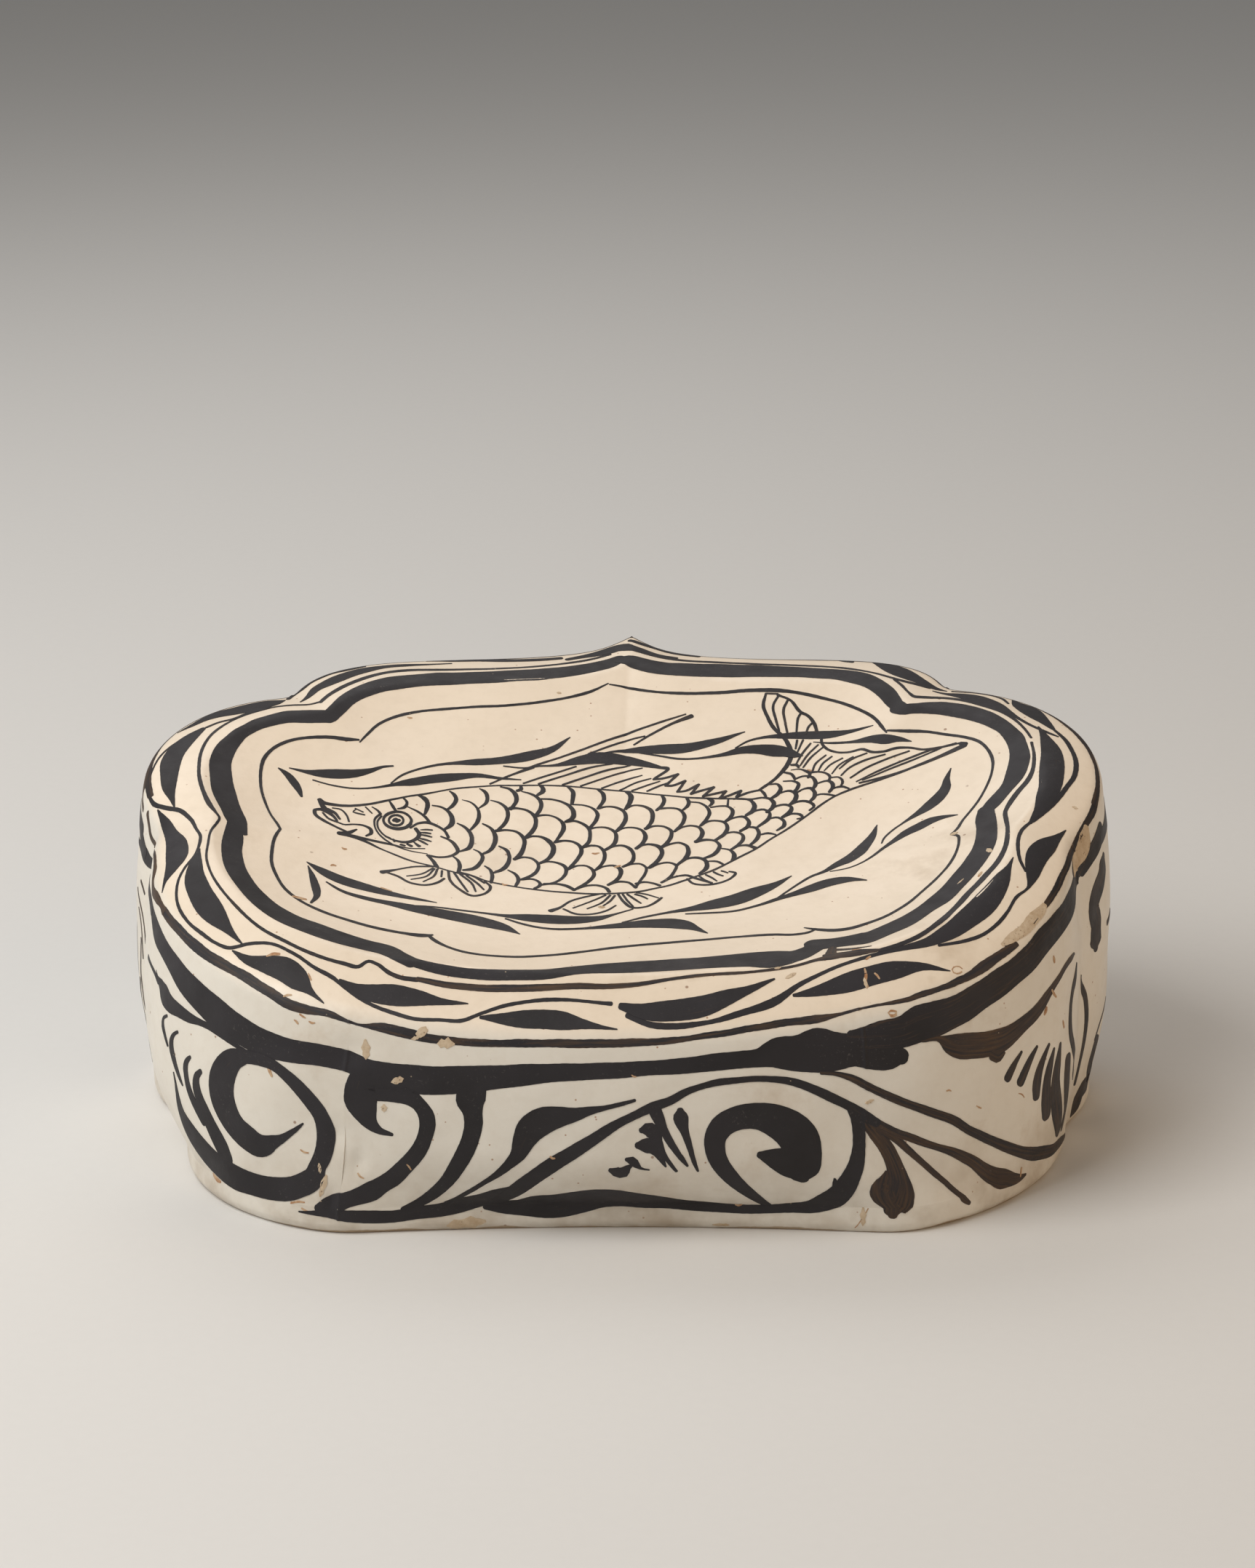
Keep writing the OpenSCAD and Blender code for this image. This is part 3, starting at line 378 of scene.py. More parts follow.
FISH_FINS = stroke_set(
    (-399, 289, 8, -299, 359, 9, -199, 413, 9, -99, 473, 9, 1, 533, 10, 101, 579, 9, 201, 620, 7),
    (221, 610, 18, 151, 574, 11, 81, 524, 9, 31, 483, 7),
    (-119, 428, 8, -49, 472, 8, 21, 509, 8, 66, 522, 6),
    (-439, 259, 8, -379, 304, 8, -299, 349, 7),
    (-329, 268, 8, -259, 308, 8, -159, 363, 7),
    (-279, 268, 8, -199, 313, 8, -99, 367, 8, -39, 387, 6),
    (-199, 268, 8, -119, 317, 8, -39, 362, 8, 21, 383, 6),
    (-139, 267, 8, -59, 317, 8, 21, 358, 8, 61, 368, 6),
    (-69, 262, 8, 1, 307, 8, 61, 331, 6),
    (-9, 256, 8, 41, 293, 8, 91, 313, 6),
    (31, 253, 8, 81, 278, 8, 121, 296, 6),
    (81, 247, 8, 121, 272, 8, 151, 287, 6),
    (121, 368, 8, 146, 363, 10, 101, 308, 10),
    (101, 308, 10, 121, 308, 10, 181, 328, 10),
    (181, 328, 10, 141, 272, 10),
    (141, 272, 10, 156, 270, 10, 206, 292, 10),
    (206, 292, 10, 181, 237, 10),
    (181, 237, 10, 201, 239, 10, 251, 272, 10),
    (251, 272, 10, 226, 225, 10),
    (226, 225, 10, 241, 232, 10, 301, 257, 10),
    (301, 257, 10, 266, 212, 10),
    (266, 212, 10, 281, 217, 10, 341, 236, 10),
    (341, 236, 10, 321, 201, 10),
    (321, 201, 10, 341, 209, 10, 391, 236, 10),
    (391, 236, 10, 376, 206, 10),
    (376, 206, 10, 421, 228, 10, 451, 235, 10),
    (451, 235, 10, 511, 295, 13, 546, 355, 17, 556, 396, 17, 551, 436, 16, 531, 487, 15, 501, 528, 13, 476,
     590, 13, 463, 640, 12, 471, 696, 8),
    (471, 696, 8, 511, 691, 8),
    (511, 686, 10, 551, 661, 10, 591, 599, 12, 611, 584, 12, 631, 548, 13, 644, 496, 10),
    (516, 686, 8, 496, 640, 9, 506, 569, 9, 516, 518, 7),
    (546, 661, 8, 531, 620, 9, 536, 559, 9, 544, 503, 7),
    (591, 599, 8, 581, 579, 8, 576, 538, 8, 574, 497, 7),
    (629, 548, 8, 616, 532, 8, 606, 497, 7),
    (576, 467, 8, 571, 426, 7),
    (596, 466, 8, 576, 405, 7),
    (659, 475, 10, 658, 445, 10, 676, 408, 10, 711, 384, 10, 751, 376, 10, 791, 379, 11, 821, 359, 12, 861,
     355, 11, 906, 365, 11, 951, 358, 10, 990, 340, 10, 1050, 334, 10, 1110, 332, 8),
    (1115, 330, 16, 1130, 320, 20),
    (1130, 313, 14, 1050, 286, 10, 970, 264, 10, 891, 242, 10, 831, 230, 10, 781, 220, 8),
    (1100, 336, 8, 1020, 330, 9, 931, 304, 9, 851, 271, 8, 771, 228, 6),
    (1050, 329, 7, 970, 302, 8, 881, 270, 8, 791, 232, 6),
    (946, 343, 7, 871, 319, 8, 801, 285, 8, 751, 247, 6),
    (866, 341, 7, 791, 319, 8, 746, 293, 8, 721, 263, 6),
    (806, 355, 7, 751, 333, 8, 716, 298, 6),
    (761, 348, 7, 716, 319, 8, 691, 279, 6),
    (726, 350, 7, 686, 326, 8, 666, 301, 6),
    (691, 367, 7, 661, 337, 8, 646, 302, 6),
    (671, 378, 7, 636, 338, 8, 626, 302, 6),
    (661, 419, 7, 621, 374, 8, 596, 329, 6),
    (646, 435, 7, 611, 390, 8, 586, 339, 6),
    (621, 446, 7, 591, 395, 8, 571, 344, 6),
    (-599, -206, 8, -659, -216, 8, -719, -246, 9, -759, -269, 20),
    (-749, -266, 8, -709, -286, 9, -664, -325, 9, -619, -333, 9, -579, -310, 10, -559, -281, 8),
    (-599, -216, 8, -634, -261, 8, -679, -281, 6),
    (-594, -221, 8, -619, -276, 8, -664, -301, 6),
    (-584, -221, 8, -594, -271, 8, -624, -310, 6),
    (-569, -231, 8, -569, -271, 6),
    (-549, -231, 9, -539, -290, 9, -509, -339, 10, -459, -378, 11, -424, -358, 10, -409, -309, 10, -429,
     -280, 8),
    (-519, -231, 8, -469, -251, 9, -429, -290, 8),
    (-529, -241, 8, -499, -310, 8, -479, -354, 6),
    (-509, -246, 8, -469, -300, 8, -454, -349, 6),
    (-489, -251, 8, -449, -300, 8, -429, -334, 6),
    (-49, -329, 9, -99, -353, 9, -149, -388, 10, -184, -437, 12, -209, -459, 20),
    (-169, -442, 9, -129, -471, 11, -79, -467, 10, -29, -437, 9, -4, -403, 7),
    (-39, -339, 8, -79, -378, 8, -139, -432, 6),
    (-24, -339, 8, -49, -388, 8, -94, -432, 6),
    (-9, -339, 8, -24, -378, 8, -44, -408, 6),
    (1, -329, 9, 21, -378, 10, 51, -418, 11, 91, -413, 10, 126, -379, 10, 141, -354, 9),
    (16, -329, 8, 31, -368, 8, 51, -408, 6),
    (31, -329, 8, 61, -369, 8, 76, -388, 6),
    (56, -329, 8, 81, -344, 7, 96, -359, 6),
    (61, -319, 8, 91, -329, 8, 131, -354, 6),
    (221, -242, 8, 241, -272, 10, 281, -284, 10, 331, -273, 10, 366, -244, 10, 376, -218, 10, 356, -209, 7),
    (261, -232, 8, 281, -257, 8, 296, -268, 6),
    (281, -223, 8, 301, -243, 8, 316, -263, 6),
    (306, -208, 8, 321, -224, 8, 336, -234, 6),
    (331, -204, 7, 341, -210, 7, 351, -217, 6),
)
WATER_WEED = stroke_set(
    (-1099, 213, 5, -1049, 213, 16, -999, 218, 35, -939, 229, 45, -879, 244, 35, -829, 265, 20, -794, 287,
     12, -764, 299, 8),
    (-1134, 200, 6, -1104, 180, 25, -1079, 149, 30, -1059, 113, 20, -1049, 86, 9),
    (-1019, 180, 6, -949, 170, 7, -879, 170, 7, -819, 182, 8, -759, 204, 14, -699, 229, 35, -639, 256, 40,
     -569, 277, 38, -479, 297, 20, -399, 289, 12, -339, 286, 5),
    (-764, 211, 5, -729, 260, 8, -679, 300, 9, -619, 330, 10, -549, 350, 18, -499, 360, 28, -399, 381, 35,
     -319, 407, 45, -249, 439, 30, -184, 504, 4),
    (-399, 352, 6, -329, 347, 7, -279, 359, 8),
    (-279, 359, 8, -239, 363, 10, -149, 393, 40, -79, 412, 55, 1, 408, 45, 81, 383, 25, 141, 358, 8),
    (-79, 432, 5, -19, 451, 12, 51, 456, 30, 121, 456, 45, 201, 456, 45, 301, 479, 30, 401, 519, 4),
    (51, 443, 6, 121, 423, 8, 181, 405, 8, 251, 401, 9, 321, 411, 15, 401, 431, 35, 451, 432, 45, 501, 422,
     55, 541, 411, 45, 571, 395, 30, 594, 388, 5),
    (371, 443, 6, 411, 473, 9, 461, 488, 12, 551, 492, 30, 631, 486, 40, 691, 480, 35, 751, 481, 20, 829,
     490, 4),
    (631, 452, 4, 691, 436, 10, 761, 426, 15, 821, 422, 35, 871, 410, 45, 911, 404, 25, 954, 387, 4),
    (-999, -288, 5, -949, -319, 35, -879, -353, 50, -799, -380, 45, -719, -408, 30, -639, -426, 16, -574,
     -438, 4),
    (-994, -308, 4, -974, -369, 22, -957, -439, 28, -952, -489, 20, -964, -543, 8),
    (-929, -380, 6, -879, -420, 15, -799, -452, 22, -719, -471, 30, -639, -489, 45, -569, -504, 55, -500,
     -522, 60, -420, -553, 60, -350, -588, 40, -300, -627, 5),
    (-669, -473, 5, -599, -467, 7, -499, -476, 9, -399, -495, 12, -349, -505, 20, -279, -513, 48, -199,
     -516, 57, -119, -511, 50, -59, -496, 32, -9, -467, 12, 51, -428, 6),
    (-349, -525, 8, -299, -554, 10, -249, -574, 11, -199, -581, 12, -119, -574, 13, -49, -561, 23, 51, -544,
     48, 121, -538, 63, 181, -540, 70, 221, -554, 60, 251, -575, 32, 291, -613, 4),
    (21, -526, 7, 81, -492, 10, 151, -463, 13, 221, -441, 24, 301, -414, 55, 381, -380, 65, 451, -334, 55,
     511, -293, 25, 556, -250, 4),
    (221, -471, 7, 301, -466, 9, 381, -456, 10, 451, -425, 12, 521, -388, 20, 571, -365, 30, 621, -342, 45,
     671, -319, 50, 721, -312, 40, 760, -318, 20, 795, -332, 5),
    (506, -392, 7, 541, -349, 9, 581, -301, 10, 621, -262, 12, 661, -239, 18, 701, -205, 30, 741, -178, 45,
     770, -146, 50, 795, -101, 40, 820, -50, 25, 835, 1, 4),
    (681, -243, 5, 741, -235, 7, 790, -209, 8, 820, -183, 10, 850, -146, 14, 890, -107, 22, 930, -73, 35,
     970, -54, 40, 1010, -36, 35, 1050, -32, 20, 1094, -39, 4),
    (848, -109, 5, 855, -83, 7, 880, -48, 8, 920, -15, 9, 960, 14, 22, 1000, 43, 40, 1035, 77, 45, 1060,
     122, 35, 1065, 164, 20, 1080, 215, 4),
)
WEAR_TOP = stroke_set(
    (779, -922, 5, 783, -943, 9, 781, -958, 9, 788, -975, 7),
    (810, -935, 5, 817, -941, 7, 824, -950, 5),
    (746, -847, 13, 762, -851, 16, 782, -862, 9),
    (784, -890, 5, 790, -884, 7, 797, -879, 5),
    (-1073, -873, 5, -1055, -869, 10, -1034, -872, 7),
    (-1011, -997, 3, -1000, -997, 5, -986, -999, 3),
    (-928, -965, 4, -933, -955, 6, -938, -944, 3),
    (-1022, -524, 10, -1006, -526, 16, -983, -525, 10),
    (-755, -371, 8, -740, -382, 15, -723, -388, 9),
    (-89, -99, 6, -80, -101, 10, -68, -97, 6),
    (-38, -71, 5, -33, -67, 9, -26, -63, 6),
    (-14, -175, 6, -4, -171, 10, 3, -166, 6),
    (1079, -897, 3, 1071, -903, 3, 1060, -906, 3, 1052, -904, 3, 1049, -897, 3, 1053, -890, 3, 1062, -885,
     3, 1073, -884, 3, 1080, -888, 3),
    (876, -1027, 3, 869, -1030, 3, 860, -1032, 3, 853, -1032, 3, 850, -1030, 3, 854, -1027, 3, 861, -1025,
     3, 870, -1024, 3, 876, -1024, 3),
    (1145, -478, 6, 1150, -466, 10, 1155, -455, 6),
    (457, -331, 6, 466, -336, 12, 475, -332, 7),
    (-373, -287, 4, -365, -296, 9, -356, -295, 5),
    (-896, -165, 5, -889, -170, 10, -882, -168, 6),
    (-923, -278, 5, -916, -271, 10, -909, -273, 7),
    (610, 315, 5, 617, 310, 9, 624, 309, 5),
    (-731, 551, 5, -724, 549, 8, -717, 550, 5),
)
# Brush strokes on the wall: arc length, height and width.
RIM_LINE = stroke_set(
    (-854, 865, 19, -765, 846, 19, -655, 821, 20, -581, 804, 21, -476, 784, 18, -380, 764, 18, -287, 740,
     18, -214, 720, 19, -148, 709, 17, -76, 703, 13, -14, 690, 7, 28, 682, 5, 113, 676, 18, 199, 663, 21,
     285, 653, 19, 370, 649, 17, 455, 647, 15, 540, 648, 15, 626, 648, 15, 711, 648, 16, 796, 648, 16, 881,
     650, 15, 966, 652, 14, 1051, 657, 11, 1137, 665, 11, 1222, 673, 12, 1308, 683, 12, 1394, 692, 13, 1488,
     700, 14, 1516, 703, 12, 1543, 707, 9, 1571, 711, 6, 1600, 716, 5, 1628, 721, 4, 1656, 725, 4, 1684,
     729, 5, 1712, 732, 5, 1740, 735, 7, 1768, 739, 8, 1797, 743, 9, 1826, 749, 10, 1855, 754, 11, 1884,
     759, 10, 1914, 765, 10, 1944, 770, 11, 1974, 777, 13, 2005, 783, 15, 2036, 791, 17, 2068, 800, 19,
     2100, 809, 19, 2132, 818, 18, 2166, 826, 17, 2200, 834, 14, 2234, 842, 10),
    (3131, 1094, 15, 3066, 1073, 16, 2997, 1050, 20, 2943, 1035, 17, 2878, 1012, 16, 2814, 988, 18, 2717,
     973, 17, 2614, 954, 15, 2522, 931, 15, 2427, 906, 10),
)
RIM_WORN = stroke_set(
    (-1697, 1095, 9, -1670, 1084, 14, -1621, 1071, 13, -1571, 1054, 24, -1543, 1022, 24, -1502, 1004, 24),
    (-1434, 1008, 18, -1407, 986, 18, -1376, 953, 18, -1295, 940, 18, -1162, 951, 10, -1098, 940, 12, -1057,
     924, 18, -1026, 901, 18, -1010, 892, 24, -946, 883, 23, -872, 871, 14, -854, 865, 19),
)
WALL_BAND = stroke_set(
    (-1578, 873, 15, -1468, 883, 31, -1413, 877, 55, -1358, 866, 42, -1313, 863, 19),
    (-1016, 849, 32, -959, 825, 44, -922, 809, 55, -874, 789, 67, -809, 767, 64, -727, 739, 72, -651, 710,
     83, -557, 675, 96, -466, 645, 100, -369, 618, 90, -283, 595, 88, -201, 588, 76, -152, 586, 72, -81,
     585, 68, -30, 577, 64, 20, 566, 62, 70, 546, 75, 139, 532, 90, 219, 529, 90, 299, 530, 89, 389, 538,
     86, 469, 546, 76, 569, 558, 66, 669, 567, 55, 769, 571, 52, 869, 576, 49, 969, 583, 45, 1069, 588, 50,
     1169, 598, 53, 1240, 603, 54, 1300, 607, 58, 1340, 617, 85, 1420, 614, 110, 1490, 619, 130, 1539, 617,
     120, 1599, 617, 100, 1659, 607, 110, 1710, 596, 100, 1740, 589, 70, 1750, 586, 50),
    (1593, 659, 40, 1642, 655, 70, 1701, 657, 90, 1761, 662, 97, 1822, 679, 106, 1872, 687, 103, 1922, 697,
     95, 1972, 709, 92, 2033, 729, 84, 2108, 750, 84, 2186, 772, 79, 2266, 793, 82, 2350, 821, 82, 2436,
     842, 81, 2510, 856, 82, 2604, 873, 82, 2708, 887, 76, 2806, 903, 62),
    (3040, 977, 75, 2965, 949, 67, 2911, 931, 60, 2856, 915, 66),
)
LEFT_SCROLLS = stroke_set(
    (-861, 673, 3, -842, 654, 15, -811, 644, 40, -775, 624, 74, -730, 609, 65, -671, 605, 49, -606, 598, 37,
     -548, 598, 23, -505, 596, 20, -451, 584, 16, -393, 569, 15, -344, 556, 13),
    (-973, 678, 18, -920, 670, 15, -871, 658, 16, -836, 641, 17),
    (-740, 562, 10, -769, 542, 15, -772, 521, 23, -758, 494, 19, -739, 463, 13),
    (-670, 530, 11, -695, 513, 14, -711, 488, 23, -713, 458, 31, -702, 429, 29, -684, 398, 23, -662, 371,
     16, -649, 358, 10),
    (-596, 469, 13, -616, 450, 20, -626, 425, 28, -622, 397, 29, -609, 361, 33, -589, 328, 34, -568, 296,
     31, -549, 264, 25),
    (-537, 440, 18, -559, 416, 28, -563, 383, 40, -551, 347, 46, -533, 311, 53, -513, 272, 63, -490, 235,
     73, -468, 201, 76, -454, 177, 65),
    (-338, 539, 40, -389, 518, 75, -423, 477, 95, -441, 427, 108, -439, 377, 110, -415, 327, 105, -373, 288,
     95, -336, 270, 92, -299, 258, 85, -268, 262, 68, -239, 277, 46, -210, 292, 30, -180, 315, 20, -155,
     335, 14, -135, 354, 6),
    (-368, 537, 50, -287, 539, 40, -236, 531, 35, -185, 503, 40, -140, 466, 46, -104, 426, 50, -76, 387, 52,
     -61, 342, 57, -60, 298, 57, -67, 256, 60, -83, 217, 60, -92, 187, 72, -152, 146, 75, -242, 123, 74,
     -352, 120, 77, -446, 126, 90, -542, 142, 97, -614, 170, 110, -665, 214, 94, -690, 261, 53, -695, 311,
     25, -700, 351, 12, -708, 380, 6),
)
SIDE_LINES = stroke_set(
    (-1429, 777, 13, -1407, 764, 13, -1387, 748, 13),
    (-1476, 735, 13, -1451, 706, 13, -1425, 682, 13, -1400, 650, 13, -1383, 610, 13, -1376, 579, 13),
    (-1464, 670, 13, -1444, 642, 13, -1429, 594, 13, -1423, 552, 13, -1412, 515, 13),
    (-1445, 570, 13, -1449, 530, 13, -1445, 481, 13, -1439, 432, 13, -1444, 384, 13, -1454, 343, 13, -1453,
     313, 13, -1442, 292, 13),
    (-1465, 423, 13, -1497, 364, 13, -1519, 313, 13, -1535, 275, 13, -1579, 226, 6, -1604, 180, 3, -1622,
     144, 3, -1637, 111, 3),
)
FRONT_SCROLLS = stroke_set(
    (65, 540, 80, 52, 490, 95, 56, 449, 105, 68, 414, 83, 86, 379, 50, 113, 357, 26, 155, 347, 12),
    (89, 477, 50, 159, 483, 60, 208, 474, 55, 241, 451, 46, 264, 417, 50, 268, 387, 50, 261, 352, 48, 243,
     308, 50, 218, 269, 52, 187, 231, 55, 155, 195, 60, 126, 172, 60, 97, 149, 70, 64, 134, 60, 30, 121, 55,
     -7, 106, 65, -45, 95, 50, -72, 84, 30),
    (404, 507, 90, 400, 467, 90, 406, 436, 63, 410, 396, 58, 401, 351, 55, 381, 296, 55, 352, 241, 50, 319,
     186, 45, 286, 146, 40, 248, 111, 35, 199, 78, 30),
    (-148, 66, 5, -88, 68, 16, -28, 71, 30, 39, 65, 40, 99, 61, 45, 165, 59, 40, 230, 68, 43, 298, 76, 46,
     358, 93, 56, 419, 112, 54, 474, 133, 60, 513, 160, 30),
    (429, 82, 20, 473, 82, 45, 525, 81, 60, 578, 87, 88, 641, 92, 98, 708, 107, 96, 758, 120, 90, 814, 121,
     84, 875, 112, 75, 943, 102, 58, 1010, 88, 44, 1089, 79, 34, 1169, 74, 30, 1230, 77, 30, 1310, 83, 36,
     1371, 89, 45, 1438, 116, 55, 1501, 157, 50, 1551, 204, 48, 1587, 250, 44, 1605, 298, 40, 1609, 348, 40,
     1602, 398, 40, 1583, 433, 30),
    (909, 483, 10, 869, 472, 13, 819, 459, 16, 769, 449, 28, 719, 434, 48, 673, 426, 70, 628, 414, 90, 588,
     384, 90, 566, 345, 70, 548, 300, 50, 518, 264, 33, 477, 223, 22, 428, 184, 16, 382, 146, 15, 339, 115,
     12, 314, 105, 6),
    (463, 104, 30, 512, 145, 45, 563, 191, 50, 616, 237, 50, 668, 277, 48, 719, 311, 45, 769, 347, 39, 819,
     383, 35, 869, 415, 28, 919, 440, 27, 970, 462, 32, 1020, 479, 27, 1070, 506, 22, 1120, 523, 20, 1170,
     535, 21, 1220, 540, 20, 1320, 541, 19, 1370, 535, 22, 1421, 521, 26, 1472, 499, 28, 1522, 471, 30,
     1573, 442, 30, 1624, 406, 34, 1664, 378, 30),
    (973, 445, 40, 983, 422, 38, 996, 391, 28, 1015, 351, 24, 1038, 314, 20, 1059, 280, 16, 1068, 263, 8),
    (1050, 448, 20, 1051, 431, 46, 1054, 411, 44, 1062, 381, 28, 1073, 346, 22, 1085, 306, 17, 1093, 265,
     13, 1097, 242, 8),
    (930, 385, 20, 945, 389, 44, 965, 380, 48, 980, 347, 30, 998, 306, 18, 1016, 273, 14, 1031, 244, 10),
    (919, 335, 25, 940, 335, 48, 965, 330, 50, 983, 306, 30, 994, 281, 18, 1001, 262, 8),
    (884, 287, 15, 900, 282, 32, 912, 266, 24, 925, 254, 10, 949, 249, 5),
    (830, 248, 16, 847, 239, 40, 867, 239, 40, 883, 256, 22, 897, 266, 10),
    (1396, 214, 60, 1412, 244, 105, 1427, 284, 120, 1423, 329, 125, 1393, 374, 120, 1342, 407, 105, 1282,
     423, 85, 1221, 417, 80, 1181, 395, 78, 1158, 355, 68, 1159, 310, 63, 1171, 264, 60, 1189, 220, 58,
     1208, 173, 53, 1224, 129, 43, 1236, 95, 30),
    (1296, 294, 25, 1320, 287, 55, 1353, 274, 90, 1384, 259, 110, 1410, 249, 100),
    (1500, 198, 8, 1494, 179, 20, 1486, 156, 30),
)
RIGHT_SCROLLS = stroke_set(
    (1490, 553, 12, 1535, 548, 15, 1585, 531, 22, 1631, 503, 25, 1724, 452, 26, 1825, 402, 28, 1925, 350,
     30, 1975, 309, 30, 2007, 286, 32, 2039, 262, 35, 2074, 238, 37, 2110, 212, 40, 2150, 185, 44, 2195,
     157, 47, 2251, 130, 54, 2323, 107, 51, 2408, 86, 41, 2508, 70, 32, 2653, 43, 13),
    (1634, 378, 35, 1659, 343, 40, 1689, 298, 50, 1701, 251, 55, 1699, 207, 63, 1681, 165, 80, 1643, 126,
     85, 1603, 89, 70, 1600, 66, 30),
    (1667, 215, 8, 1650, 193, 25, 1630, 168, 50, 1612, 139, 70, 1599, 111, 75, 1596, 83, 50),
    (1674, 358, 30, 1724, 320, 26, 1764, 274, 26, 1794, 228, 24, 1816, 187, 25, 1834, 152, 24, 1845, 118,
     24, 1865, 80, 24, 1890, 61, 16),
    (1654, 383, 30, 1725, 340, 28, 1773, 318, 28, 1819, 292, 26, 1862, 270, 26, 1902, 248, 32, 1938, 221,
     42, 1969, 193, 50, 1992, 160, 60, 2012, 133, 73, 2040, 110, 80, 2079, 96, 70, 2116, 81, 46, 2158, 72,
     24, 2192, 72, 8),
    (1818, 626, 6, 1878, 625, 20, 1909, 607, 60, 1950, 591, 82, 2000, 583, 83, 2060, 576, 84, 2120, 578, 80,
     2168, 590, 66, 2217, 604, 56, 2265, 616, 52, 2313, 632, 45, 2359, 652, 36, 2405, 670, 25, 2450, 685,
     21, 2493, 701, 22, 2533, 708, 22, 2570, 709, 20, 2599, 710, 12, 2612, 706, 4),
    (2072, 536, 35, 2095, 524, 34, 2119, 533, 12),
    (2204, 511, 11, 2180, 489, 22, 2160, 468, 33, 2140, 444, 36),
    (2286, 504, 13, 2255, 474, 29, 2229, 443, 37, 2205, 411, 40),
    (2355, 489, 16, 2324, 452, 30, 2300, 413, 43, 2289, 374, 50, 2286, 337, 40),
    (2392, 461, 18, 2370, 412, 45, 2354, 357, 58, 2353, 297, 72, 2354, 248, 63),
    (2444, 460, 20, 2432, 400, 53, 2421, 332, 68, 2433, 247, 86, 2465, 148, 79),
    (2527, 377, 56, 2526, 317, 65, 2536, 251, 65, 2554, 179, 65, 2543, 126, 65),
)
RIGHT_SIDE = stroke_set(
    (3057, 889, 33, 3041, 864, 90, 3025, 839, 90, 3001, 819, 90, 2965, 801, 90, 2937, 778, 90, 2925, 756,
     90, 2931, 729, 90, 2947, 698, 90, 2943, 675, 90, 2943, 650, 90, 2941, 628, 90, 2941, 611, 34),
    (3065, 655, 20, 3102, 662, 20, 3136, 671, 20),
    (2649, 657, 17, 2628, 627, 36, 2578, 595, 36, 2551, 560, 36, 2542, 514, 36, 2551, 461, 36, 2592, 394,
     36, 2668, 320, 36, 2696, 272, 36, 2751, 224, 27),
    (2818, 558, 3, 2824, 533, 10, 2838, 504, 26, 2860, 469, 26, 2870, 429, 26, 2875, 389, 26, 2878, 336, 26,
     2876, 284, 26, 2868, 233, 26, 2859, 187, 26, 2851, 159, 26),
    (3128, 366, 16, 3082, 339, 16, 3032, 301, 16, 3005, 265, 16),
    (3034, 242, 70, 3017, 207, 70, 3001, 170, 70, 3024, 112, 70, 2940, 98, 70, 2911, 73, 70, 2876, 51, 46,
     2853, 37, 15),
)
CRACKS = stroke_set(
    (2930, 1026, 10, 2930, 999, 12, 2929, 975, 11),
    (2832, 988, 10, 2848, 969, 6, 2880, 952, 5),
    (2812, 978, 10, 2770, 960, 28, 2734, 937, 42),
    (2881, 932, 12, 2860, 909, 10, 2834, 892, 10),
    (2189, 841, 4, 2213, 846, 4, 2249, 854, 4, 2269, 862, 4, 2281, 875, 4),
    (2264, 856, 4, 2298, 863, 4, 2330, 875, 4),
    (2341, 878, 4, 2370, 887, 3),
)
RIM_CHIPS = stroke_set(
    (2926, 1022, 23, 2906, 995, 63, 2878, 971, 71, 2829, 953, 61, 2764, 940, 62),
    (2183, 844, 7, 2216, 851, 15, 2249, 859, 17, 2292, 869, 20, 2354, 887, 21, 2405, 901, 18, 2437, 911,
     10),
)
SIDE_BAND = stroke_set(
    (-1580, 952, 50, -1520, 930, 50, -1465, 904, 48, -1415, 880, 50),
    (-1360, 867, 40, -1270, 869, 32, -1150, 866, 30, -1040, 856, 32, -980, 834, 40),
)
WEAR_WALL = stroke_set(
    (-163, 700, 3, -152, 696, 4, -142, 693, 3),
    (-128, 684, 4, -118, 681, 7, -109, 682, 4),
    (-178, 683, 3, -170, 679, 6, -164, 673, 5),
    (-258, 522, 6, -250, 510, 11, -241, 495, 7),
    (-142, 267, 4, -130, 261, 6, -115, 261, 4),
    (-136, 78, 6, -118, 71, 8, -98, 69, 5),
    (-182, 89, 5, -151, 98, 7, -125, 99, 5),
    (46, 206, 5, 56, 197, 6, 68, 192, 4),
    (-590, 90, 15, -566, 82, 16, -540, 82, 9),
    (1492, 19, 3, 1506, 47, 3, 1516, 65, 3, 1526, 87, 3),
    (2156, 77, 7, 2160, 91, 9, 2170, 105, 6),
    (2419, 761, 7, 2422, 750, 13, 2423, 741, 8),
    (2388, 661, 7, 2397, 648, 10, 2412, 631, 7),
    (2345, 616, 10, 2340, 608, 16, 2331, 599, 9),
    (2195, 374, 3, 2210, 367, 5, 2221, 353, 4),
    (2458, 535, 7, 2465, 522, 12, 2473, 507, 8),
    (2004, 385, 3, 2013, 378, 5, 2022, 373, 5),
    (1894, 456, 4, 1902, 457, 6, 1910, 453, 3),
    (507, 143, 7, 514, 136, 11, 525, 136, 7),
    (900, 561, 3, 907, 556, 6, 914, 556, 3),
    (201, 248, 4, 208, 240, 6, 213, 230, 4),
    (1146, 89, 4, 1154, 87, 6, 1163, 90, 4),
    (647, 294, 5, 654, 289, 7, 661, 289, 5),
)


def length(name, about, mm):
    """A length to set in the sidebar, given in millimetres."""
    return bpy.props.FloatProperty(name=name, description=about, default=mm * MM, unit="LENGTH")


def tint(name, about, colour):
    """A colour to set in the sidebar."""
    return bpy.props.FloatVectorProperty(name=name, description=about, default=colour, subtype="COLOR",
                                         size=3)


